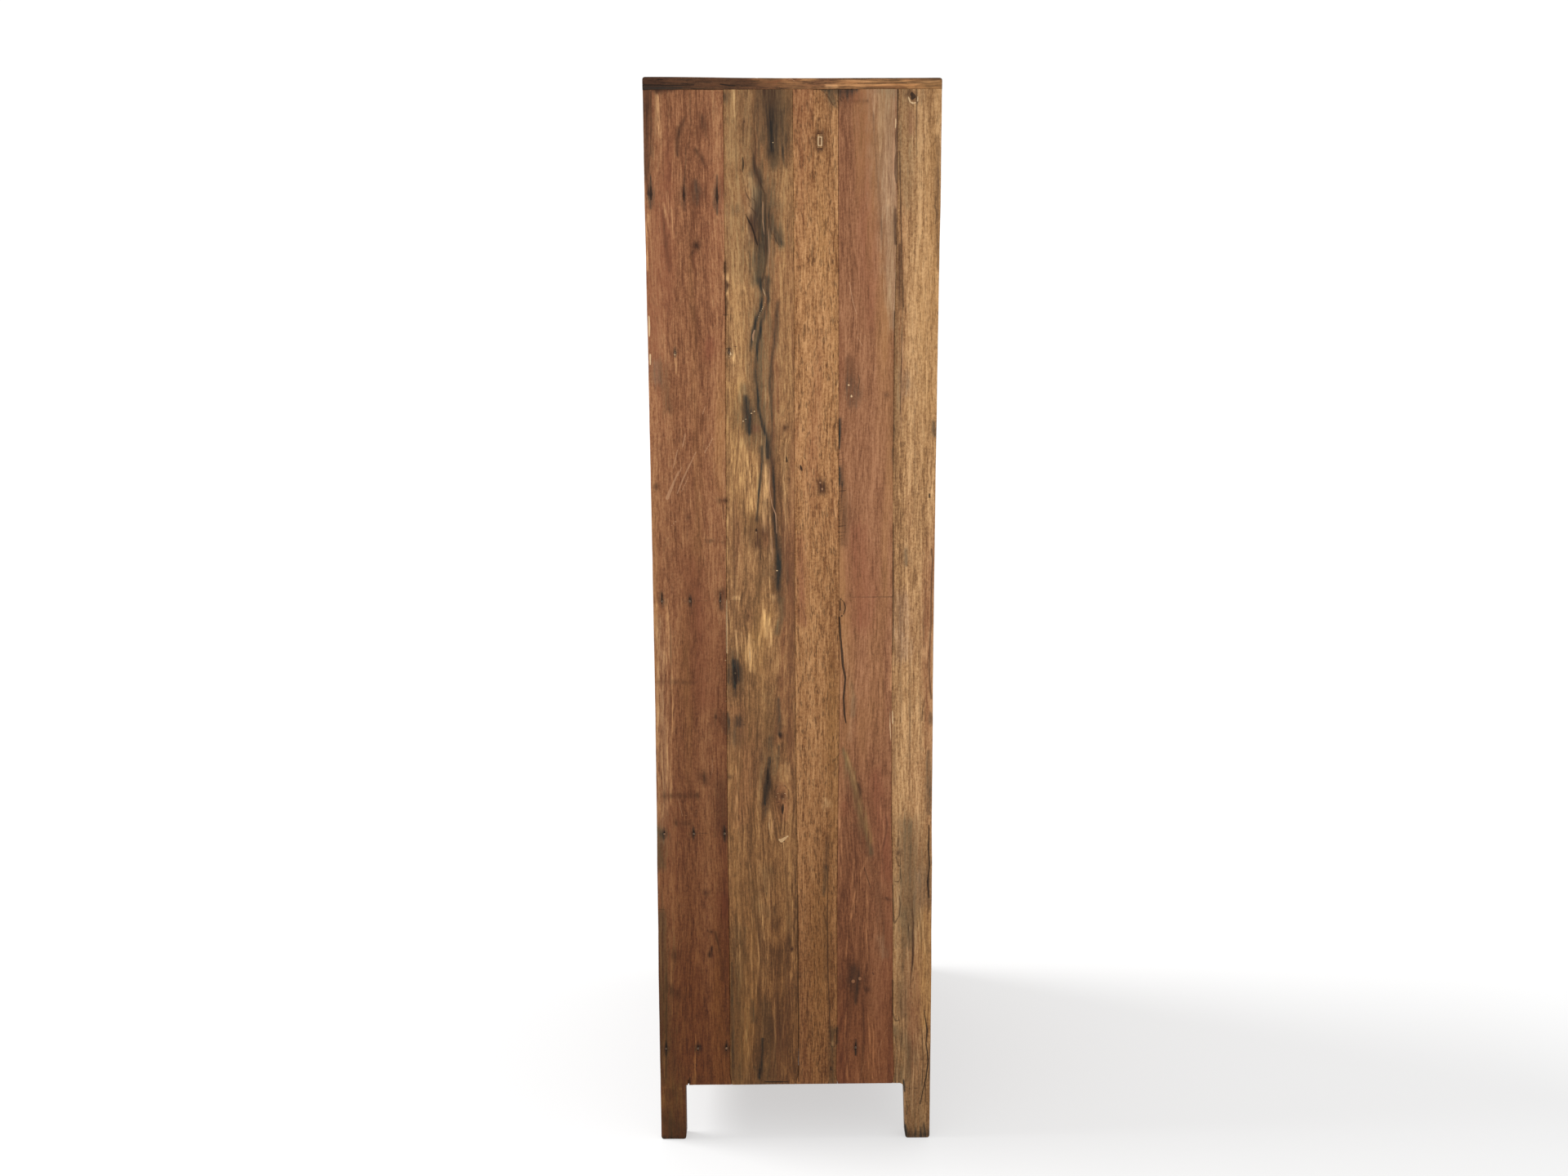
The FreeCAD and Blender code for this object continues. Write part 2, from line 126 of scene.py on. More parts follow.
def corner_value(i, j, seed):
    return np.modf(np.abs(np.sin(i * TURN_I + j * TURN_J + seed * TURN_SEED) * SPREAD))[0]


def field(x, y, seed):
    """Smooth noise from -1 to 1, one cell to a unit."""
    i, j = np.floor(x), np.floor(y)
    a, b = x - i, y - j
    a, b = a * a * (3 - 2 * a), b * b * (3 - 2 * b)
    low = corner_value(i, j, seed) * (1 - a) + corner_value(i + 1, j, seed) * a
    high = corner_value(i, j + 1, seed) * (1 - a) + corner_value(i + 1, j + 1, seed) * a
    return 2 * (low * (1 - b) + high * b) - 1


def layered(x, y, seed, octaves=3):
    """Noise from about -1 to 1 with finer and weaker layers."""
    total, weight = 0, 0
    for octave in range(octaves):
        total = total + field(x * 2 ** octave, y * 2 ** octave, seed + 17 * octave) / 2 ** octave
        weight += 1 / 2 ** octave
    return total / weight


def smooth(low, high, value):
    share = np.clip((value - low) / (high - low), 0, 1)
    return share * share * (3 - 2 * share)


# Marks painted on a board: each is a path of points with a half width, in millimetres on the board
TONE_KINDS = ("gold", "rose", "olive", "shade")
SOFT_KINDS = ("stain", "umber", "straw", "ash")
CRISP_KINDS = ("crack", "line", "glint", "scratch")
RELIEF = {"crack": 0.5, "line": 0.15, "pit": 1.3, "dent": 0.6}

# How far a crisp mark fades past its edge and a soft one falls off, and how much the fray of the wood
# moves both, in cells of this size
CRISP_REACH, CRISP_FRAY = 3.0, 0.3
SOFT_FALL, SOFT_FRAY = 0.55, 0.5
FRAY_CELL = (2.5, 16)

# Reach of a knot across and along the grain, in its radii, and how much it bends the grain
KNOT_WIDE, KNOT_LONG, KNOT_BEND = 2.2, 6, 0.75

# Where each sequence of random draws starts
SEEDS = dict(ticks=40, face=100, inside=300, left_side=500, side_nails=600, back=700, back_nails=740,
             nails=900)


def path_distance(u, v, path):
    """Distance from a path, and the path's half width there."""
    best, width = np.full(u.shape, 1e9), np.ones(u.shape)
    for (u0, v0, r0), (u1, v1, r1) in zip(path, path[1:] or path):
        du, dv = u1 - u0, v1 - v0
        share = np.clip(((u - u0) * du + (v - v0) * dv) / max(du * du + dv * dv, 1e-9), 0, 1)
        gap = np.hypot(u - u0 - share * du, v - v0 - share * dv)
        radius = r0 + (r1 - r0) * share
        closer = gap / radius < best / width
        best, width = np.where(closer, gap, best), np.where(closer, radius, width)
    return best, width


class Canvas:
    """The marks of one board's vertices, how deep each is pressed in, and how the grain bends there."""

    def __init__(self, u, v, seed):
        self.u, self.v = u, v
        self.marks = {kind: np.zeros(len(u)) for kind in TONE_KINDS + SOFT_KINDS + CRISP_KINDS}
        self.deep, self.bend = np.zeros(len(u)), np.zeros(len(u))
        self.rough = layered(u / FRAY_CELL[0], v / FRAY_CELL[1], seed, 2)
        self.on = np.ones(len(u), bool)

    def mark(self, kind, strength, path):
        """Paints a path in a kind of mark, and presses it in where that kind has relief."""
        margin = max(radius for _, _, radius in path) * 3 + CRISP_REACH
        us, vs = [point[0] for point in path], [point[1] for point in path]
        near = self.on & (self.u > min(us) - margin) & (self.u < max(us) + margin)
        near &= (self.v > min(vs) - margin) & (self.v < max(vs) + margin)
        if not near.any():
            return
        gap, radius = path_distance(self.u[near], self.v[near], path)
        if kind in CRISP_KINDS:
            inside = radius - gap - CRISP_FRAY * self.rough[near]
            value = strength * np.clip(0.5 + inside / 2 / CRISP_REACH, 0, 1)
        else:
            value = strength * np.exp(-SOFT_FALL * (gap * (1 + SOFT_FRAY * self.rough[near]) / radius) ** 2)
        if kind in self.marks:
            self.marks[kind][near] = np.maximum(self.marks[kind][near], value)
        if kind in RELIEF:
            press = RELIEF[kind] * strength * (1 - smooth(0.7, 1.4, gap / radius))
            self.deep[near] = np.maximum(self.deep[near], press)

    def knot(self, u0, v0, radius):
        """Grain that flows round a dark centre."""
        du, dv = self.u - u0, self.v - v0
        nearness = np.exp(-(du / radius / KNOT_WIDE) ** 2 - (dv / radius / KNOT_LONG) ** 2)
        self.bend -= self.on * du * nearness * KNOT_BEND
        self.mark("umber", 0.6, [(u0, v0 - radius * 0.3, radius * 0.7),
                                 (u0, v0 + radius * 0.3, radius * 0.7)])
        self.mark("line", 1.0, [(u0 - radius * 0.3, v0 - radius * 0.4, 0.5),
                                (u0 + radius * 0.3, v0, 0.6), (u0, v0 + radius * 0.6, 0.5)])
        self.mark("rose", 0.12, [(u0, v0 - radius, radius * 1.6), (u0, v0 + radius, radius * 1.6)])

    def nail(self, u0, v0, long, wide):
        """A dark drop of iron stain round a nail, drawn out along the grain."""
        self.mark("stain", 0.6, [(u0, v0 - long * 1.3, wide * 0.5), (u0, v0, wide * 1.7),
                                 (u0, v0 + long * 1.6, wide * 0.3)])
        self.mark("crack", 1.0, [(u0, v0 - long * 0.6, 0.3), (u0, v0, wide * 0.8), (u0, v0 + long, 0.3)])
        self.mark("pit", 1.0, [(u0, v0, wide)])


# Meshes of boards: a grid over the outline, front and back, with walls between
def slab(us, vs, keep, layers):
    """Places (u, v, share of the thickness) and faces of a slab over the kept cells of a grid."""
    used = np.zeros((len(us), len(vs)), bool)
    for i, j in ((0, 0), (1, 0), (0, 1), (1, 1)):
        used[i:len(us) - 1 + i, j:len(vs) - 1 + j] |= keep
    ids = np.full(used.shape, -1)
    count = int(used.sum())
    ids[used] = np.arange(count)
    i, j = np.nonzero(keep)
    a, b, c, d = ids[i, j], ids[i, j + 1], ids[i + 1, j + 1], ids[i + 1, j]
    around = np.pad(keep, 1)
    open_sides = ((a, b, around[i, j + 1]), (b, c, around[i + 1, j + 2]),
                  (c, d, around[i + 2, j + 1]), (d, a, around[i + 1, j]))
    first = np.concatenate([start[~closed] for start, _, closed in open_sides])
    last = np.concatenate([end[~closed] for _, end, closed in open_sides])
    rim = np.unique(first)
    rank = np.full(count, -1)
    rank[rim] = np.arange(len(rim))

    def at(layer, points):
        if layer == 0:
            return points
        if layer == layers:
            return count + points
        return 2 * count + (layer - 1) * len(rim) + rank[points]

    faces = [np.stack([a, b, c, d], 1), count + np.stack([a, d, c, b], 1)]
    for layer in range(layers):
        quad = [at(layer, last), at(layer, first), at(layer + 1, first), at(layer + 1, last)]
        faces.append(np.stack(quad, 1))
    gu, gv = np.meshgrid(us, vs, indexing="ij")
    gu, gv = gu[used], gv[used]
    inner = layers - 1
    u = np.concatenate([gu, gu, np.tile(gu[rim], inner)])
    v = np.concatenate([gv, gv, np.tile(gv[rim], inner)])
    between = np.repeat(np.arange(1, layers) / layers, len(rim))
    share = np.concatenate([np.zeros(count), np.ones(count), between])
    return u, v, share, np.concatenate(faces)


def distance_to(u, v, outline):
    """Distance of each point from a closed outline of straight lines."""
    nearest = np.full(u.shape, np.inf)
    for (u0, v0), (u1, v1) in zip(outline, outline[1:] + outline[:1]):
        du, dv = u1 - u0, v1 - v0
        share = np.clip(((u - u0) * du + (v - v0) * dv) / (du * du + dv * dv), 0, 1)
        nearest = np.minimum(nearest, np.hypot(u - u0 - share * du, v - v0 - share * dv))
    return nearest


def round_over(reach, radius):
    """Depth of a rounded arris at a distance from the edge."""
    inside = np.clip(radius - reach, 0, radius)
    return radius - np.sqrt(np.maximum(radius ** 2 - inside ** 2, 0))


def lines(low, high, step, extra=()):
    """Grid lines from low to high, about a step apart, with some of their own added."""
    stops = sorted({low, high, *[value for value in extra if low < value < high]})
    parts = [np.linspace(start, end, max(2, int(round((end - start) / step)) + 1))[:-1]
             for start, end in zip(stops, stops[1:])]
    return np.append(np.concatenate(parts), high)


# Grid lines this far from an edge, the width of a step between two faces, and the bend from which an
# edge is sharp
EDGE_LINES = (0.4, 1.0, 2.0)
STEP_GAP = 0.05
SHARP_BEND = math.radians(40)


def beside(place, sign=0):
    """Extra grid lines close to an edge, on one side of it or on both."""
    signs = (sign,) if sign else (-1, 1)
    return (place, *[place + way * offset for way in signs for offset in EDGE_LINES])


# The material slot of each node, from the record
SLOTS = {entry["node"]: entry["material_slot"] for entry in frame["record"]["subparts"]}


def add_mesh(name, node, places, faces, material, canvas=None):
    """A mesh object in metres that rides on the unit in place of a node, with its marks as attributes."""
    corners = places[faces]
    volume = sum(np.einsum("ij,ij->i", corners[:, 0], np.cross(corners[:, k], corners[:, k + 1])).sum()
                 for k in (1, 2))
    if volume < 0:
        faces = faces[:, ::-1]
    mesh = bpy.data.meshes.new(name)
    mesh.vertices.add(len(places))
    mesh.vertices.foreach_set("co", (places / METRE).astype(np.float32).ravel())
    mesh.loops.add(len(faces) * 4)
    mesh.loops.foreach_set("vertex_index", faces.astype(np.int32).ravel())
    mesh.polygons.add(len(faces))
    mesh.polygons.foreach_set("loop_start", np.arange(0, len(faces) * 4, 4, dtype=np.int32))
    mesh.update()
    mesh.validate()
    mesh.shade_smooth()
    mesh.set_sharp_from_angle(angle=SHARP_BEND)
    if canvas:
        for label, kinds in (("tone", TONE_KINDS), ("soft", SOFT_KINDS), ("crisp", CRISP_KINDS)):
            values = np.stack([canvas.marks[kind] for kind in kinds], 1)
            attribute = mesh.attributes.new(label, "FLOAT_COLOR", "POINT")
            attribute.data.foreach_set("color", values.astype(np.float32).ravel())
        attribute = mesh.attributes.new("bend", "FLOAT", "POINT")
        attribute.data.foreach_set("value", (canvas.bend / METRE).astype(np.float32))
    mesh.materials.append(material)
    piece = bpy.data.objects.new(name, mesh)
    bpy.context.scene.collection.objects.link(piece)
    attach(piece, "root")
    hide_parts(node)


# Node trees of materials
def linear(colour):
    """A colour given in 0 to 255, as the shader needs it."""
    parts = [part / 255 for part in colour]
    curved = [part / 12.92 if part <= 0.04045 else ((part + 0.055) / 1.055) ** 2.4 for part in parts]
    return (*curved, 1.0)


class Net:
    """Short calls for building a node tree."""

    def __init__(self, name):
        self.material = bpy.data.materials.new(name)
        self.material.use_nodes = True
        self.tree = self.material.node_tree
        self.tree.nodes.clear()

    def add(self, kind, inputs=None, **settings):
        node = self.tree.nodes.new(kind)
        for key, value in settings.items():
            setattr(node, key, value)
        for key, value in (inputs or {}).items():
            if isinstance(value, bpy.types.NodeSocket):
                self.tree.links.new(value, node.inputs[key])
            else:
                node.inputs[key].default_value = value
        return node

    def math(self, operation, a, b=0.0, clamp=False):
        return self.add("ShaderNodeMath", {0: a, 1: b}, operation=operation, use_clamp=clamp).outputs[0]

    def plus(self, *terms):
        """A sum of (value, weight) pairs."""
        total = 0.0
        for value, weight in terms:
            total = self.math("ADD", total, self.math("MULTIPLY", value, weight))
        return total

    def vector(self, operation, a, b):
        return self.add("ShaderNodeVectorMath", {0: a, 1: b}, operation=operation).outputs[0]

    def join(self, x, y, z):
        return self.add("ShaderNodeCombineXYZ", {0: x, 1: y, 2: z}).outputs[0]

    def noise(self, where, scale, detail=2.0, roughness=0.5):
        """Noise about zero over coordinates stretched by a scale per axis, in cells to the metre."""
        stretched = self.vector("MULTIPLY", where, scale)
        inputs = {"Vector": stretched, "Scale": 1.0, "Detail": detail, "Roughness": roughness}
        return self.math("SUBTRACT", self.add("ShaderNodeTexNoise", inputs).outputs[0], 0.5)

    def span(self, value, low, high, to_low=0.0, to_high=1.0):
        inputs = {"Value": value, "From Min": low, "From Max": high, "To Min": to_low, "To Max": to_high}
        return self.add("ShaderNodeMapRange", inputs, interpolation_type="SMOOTHSTEP").outputs[0]

    def ramp(self, value, stops):
        node = self.add("ShaderNodeValToRGB", {0: value})
        elements = node.color_ramp.elements
        while len(elements) < len(stops):
            elements.new(0.5)
        for element, (place, colour) in zip(elements, stops):
            element.position = place
            element.color = linear(colour)
        return node.outputs[0]

    def mix(self, share, a, b):
        node = self.add("ShaderNodeMix", {0: share}, data_type="RGBA", clamp_result=True)
        for key, value in ((6, a), (7, b)):
            if isinstance(value, bpy.types.NodeSocket):
                self.tree.links.new(value, node.inputs[key])
            else:
                node.inputs[key].default_value = value
        return node.outputs[2]

    def four(self, label):
        """The four values of a colour attribute."""
        outputs = self.add("ShaderNodeAttribute", attribute_name=label).outputs
        parts = self.add("ShaderNodeSeparateColor", {0: outputs["Color"]}).outputs
        return (*parts[:3], outputs["Alpha"])


# Each kind of mark: its colour, and how much the fibres break it up or how strongly it covers
MARKS = {
    "gold": ((186, 138, 82), 1.0),
    "rose": ((134, 78, 54), 0.8),
    "olive": ((106, 84, 58), 0.9),
    "shade": ((52, 30, 19), 0.5),
    "stain": ((46, 42, 36), 1.2),
    "umber": ((70, 42, 27), 1.3),
    "straw": ((205, 160, 112), 1.6),
    "ash": ((165, 130, 103), 0.8),
    "crack": ((42, 30, 22), 0.88),
    "line": ((68, 46, 31), 0.62),
    "glint": ((222, 188, 144), 0.85),
    "scratch": ((196, 150, 114), 0.55),
}

# Each kind of old wood: dark, middle and light tones as judged, and how its grain is drawn
# The fall of a wood is painted shade: from the first height down to the second, in metres, its colour is
# darkened by the factor per channel, as light falls off towards the floor
WOODS = {
    "russet_wood": dict(tones=((108, 65, 41), (150, 99, 66), (182, 132, 91)), rings=0.2, arch=0.30, sway=1.1,
                        threads=0.45, streaks=0.6, mottle=0.5, pores=0.26, pore_size=0.8,
                        fall=(1.35, 0.25, (0.37, 0.27, 0.17))),
    "olive_wood": dict(tones=((102, 71, 44), (151, 108, 69), (192, 148, 98)), rings=0.5, arch=0.02, sway=1.3,
                       threads=0.6, streaks=0.75, mottle=0.4, pores=0.30, pore_size=0.8,
                       fall=(0.95, 0.2, (0.55, 0.47, 0.37))),
    "tan_wood": dict(tones=((118, 75, 42), (171, 122, 78), (204, 154, 105)), rings=0.15, arch=0.20, sway=0.6,
                     threads=0.5, streaks=0.6, mottle=0.6, pores=0.55, pore_size=0.85,
                     fall=(1.1, 0.25, (0.50, 0.43, 0.35))),
    "rosy_wood": dict(tones=((105, 65, 42), (144, 96, 65), (172, 122, 87)), rings=0.2, arch=0.10, sway=1.2,
                      threads=0.45, streaks=0.5, mottle=0.5, pores=0.16, pore_size=0.7,
                      fall=(0.8, 0.2, (0.54, 0.43, 0.34))),
    "pale_wood": dict(tones=((122, 85, 53), (171, 128, 85), (208, 164, 115)), rings=0.35, arch=0.40,
                      sway=0.35, threads=0.7, streaks=0.6, mottle=0.65, pores=0.36, pore_size=0.75,
                      fall=(0.8, 0.2, (0.66, 0.63, 0.58))),
    "dark_wood": dict(tones=((48, 32, 21), (84, 57, 38), (124, 86, 56)), rings=0.4, arch=0.40, sway=0.4,
                      threads=0.8, streaks=0.7, mottle=0.3, pores=0.40, pore_size=0.8, fall=None),
}
GRAIN_ORDER = {"yz": (1, 0, 2), "xz": (0, 1, 2), "yx": (1, 2, 0), "xy": (0, 2, 1), "zx": (2, 1, 0)}

# Layers of noise in the wood: cells to the metre across, in depth and along, then detail and roughness
LAYERS = {
    "wander": ((7.0, 7.0, 1.5), 2.0),
    "ripple": ((34.0, 34.0, 9.0), 2.0),
    "heart": ((0.0, 0.0, 1.2), 1.0),
    "bands": ((150.0, 20.0, 0.8), 2.0, 0.6),
    "streak": ((60.0, 60.0, 1.6), 3.0, 0.55),
    "broad": ((16.0, 16.0, 0.9), 2.0),
    "fibre": ((400.0, 400.0, 32.0), 3.0, 0.65),
    "thread": ((210.0, 210.0, 11.0), 2.0, 0.6),
    "warm": ((22.0, 22.0, 2.2), 2.0),
    "mottle": ((240.0, 240.0, 240.0), 2.0, 0.6),
    "grit": ((1400.0, 1400.0, 1400.0), 1.0),
}

# Pores, the sway of the grain, the most that a stain may brighten the wood, and the depth of a crack
PORE_CELLS, PORE_DETAIL, PORE_DARK = (470.0, 470.0, 75.0), (2.0, 0.5), 0.52
WANDER_WIDE, RIPPLE_WIDE, SEED_APART = 0.040, 0.0055, 1.913
TINT_MOST, CRACK_DEEP = 2.2, 1.4
BUMP = {"Strength": 0.5, "Distance": 0.0007}
WOOD_SHINE = 0.13


def grain_places(net, style, plane, seed, centre, parts):
    """Coordinates along the wandering grain that bends round knots, and along its growth rings."""
    across, depth, along = (parts[k] for k in GRAIN_ORDER[plane])
    along = net.math("ADD", along, seed * SEED_APART)
    bend = net.add("ShaderNodeAttribute", attribute_name="bend").outputs["Fac"]
    across = net.math("SUBTRACT", net.math("ADD", across, bend), centre)
    straight = net.join(across, depth, along)
    wander, ripple = (net.noise(straight, *LAYERS[layer]) for layer in ("wander", "ripple"))
    shift = net.plus((wander, WANDER_WIDE * style["sway"]), (ripple, RIPPLE_WIDE * style["sway"]))
    across = net.math("ADD", across, shift)
    grain = net.join(across, depth, along)

    # Growth rings round a heart that wanders behind the face, so that they open into arches
    heart = net.math("ADD", net.math("MULTIPLY", net.noise(grain, *LAYERS["heart"]), 0.5), 0.03)
    off = net.math("SUBTRACT", across, style["arch"])
    squares = net.math("ADD", net.math("MULTIPLY", off, off), net.math("MULTIPLY", heart, heart))
    return grain, net.join(net.math("SQRT", squares), depth, along)


def paint_stains(net, colour, middle, noise):
    """Soft marks: each tints the wood and covers it by half, broken up by the fibres."""
    for label, kinds in (("tone", TONE_KINDS), ("soft", SOFT_KINDS)):
        for mark, value in reversed(list(zip(kinds, net.four(label)))):
            tint, wild = MARKS[mark]
            partial = net.math("MULTIPLY", value, net.math("SUBTRACT", 1.15, value))
            torn = net.plus((noise["fibre"], 1.0), (noise["thread"], 1.0))
            broken = net.math("MULTIPLY", net.math("MULTIPLY", partial, wild * 4), torn)
            ratios = [min(a / b, TINT_MOST) for a, b in zip(linear(tint)[:3], linear(middle))]
            stained = net.mix(0.5, net.vector("MULTIPLY", colour, ratios), linear(tint))
            colour = net.mix(net.math("ADD", value, broken, clamp=True), colour, stained)
    return colour


def paint_crisp(net, colour, relief, noise):
    """Sharp marks: each covers the wood, and cracks and lines are cut into its relief."""
    for mark, value in reversed(list(zip(CRISP_KINDS, net.four("crisp")))):
        tint, cover = MARKS[mark]
        edge = net.math("ADD", value, net.plus((noise["fibre"], 0.10), (noise["grit"], 0.05)))
        sharp = net.span(edge, 0.45, 0.55)
        colour = net.mix(net.math("MULTIPLY", sharp, cover), colour, linear(tint))
        if mark in ("crack", "line"):
            relief = net.math("SUBTRACT", relief, net.math("MULTIPLY", sharp, CRACK_DEEP))
    return colour, relief


def darken_ends(net, colour, fall, height):
    """Painted shade: wood darker from a height down to another, by a factor per channel, as light falls off
    towards the floor, and a little at the top.
    """
    start, stop, floor_shade_factor = fall
    low = net.math("DIVIDE", net.math("SUBTRACT", start, height), start - stop, clamp=True)
    colour = net.mix(low, colour, net.vector("MULTIPLY", colour, floor_shade_factor))
    return net.mix(net.span(height, 1.5, 1.72, 0.0, 0.14), colour, linear(MARKS["umber"][0]))


def wood(name, kind, plane, seed, centre):
    """Old waxed wood: growth rings, streaks, fibres and pores along the grain, then painted marks."""
    style = WOODS[kind]
    dark, middle, light = style["tones"]
    net = Net(name)
    place = net.add("ShaderNodeTexCoord").outputs["Object"]
    parts = net.add("ShaderNodeSeparateXYZ", {0: place}).outputs
    grain, ringed = grain_places(net, style, plane, seed, centre, parts)
    noise = {layer: net.noise(ringed, *LAYERS[layer]) for layer in ("bands", "streak")}
    noise.update({layer: net.noise(grain, *LAYERS[layer]) for layer in ("broad", "fibre", "thread", "warm")})
    noise.update({layer: net.noise(place, *LAYERS[layer]) for layer in ("mottle", "grit")})
    pore_cells = tuple(cells / style["pore_size"] for cells in PORE_CELLS)
    pore = net.span(net.noise(grain, pore_cells, *PORE_DETAIL), 0.03, 0.17)

    tone = net.plus((noise["bands"], style["rings"]), (noise["streak"], style["streaks"]),
                    (noise["broad"], 0.5), (noise["thread"], style["threads"]), (noise["fibre"], 1.25),
                    (noise["mottle"], style["mottle"]), (noise["grit"], 0.5))
    colour = net.ramp(net.math("ADD", tone, 0.5), [(0.22, dark), (0.5, middle), (0.8, light)])
    colour = net.mix(net.span(noise["warm"], 0.02, 0.3, 0.0, 0.5), colour, linear(MARKS["rose"][0]))
    colour = net.mix(net.span(noise["warm"], -0.02, -0.3, 0.0, 0.35), colour, linear(MARKS["gold"][0]))
    pore_colour = linear([part * PORE_DARK for part in dark])
    colour = net.mix(net.math("MULTIPLY", pore, style["pores"]), colour, pore_colour)
    relief = net.plus((noise["fibre"], 0.5), (pore, -0.45 * style["pores"]), (noise["thread"], 0.3),
                      (noise["bands"], 0.2))

    colour = paint_stains(net, colour, middle, noise)
    colour, relief = paint_crisp(net, colour, relief, noise)
    # Painted shade: the wood darker towards the floor, as light falls off lower down
    if style["fall"]:
        height = net.math("ADD", parts[2], net.math("MULTIPLY", noise["broad"], 0.5))
        colour = darken_ends(net, colour, style["fall"], height)

    bump = net.add("ShaderNodeBump", {**BUMP, "Height": relief}).outputs[0]
    rough = net.span(net.plus((noise["streak"], 1.0), (noise["fibre"], 0.6)), -0.25, 0.25, 0.46, 0.66)
    surface = net.add("ShaderNodeBsdfPrincipled", {"Base Color": colour, "Roughness": rough, "Normal": bump,
                                                   "Specular IOR Level": WOOD_SHINE})
    net.add("ShaderNodeOutputMaterial", {0: surface.outputs[0]})
    return net.material


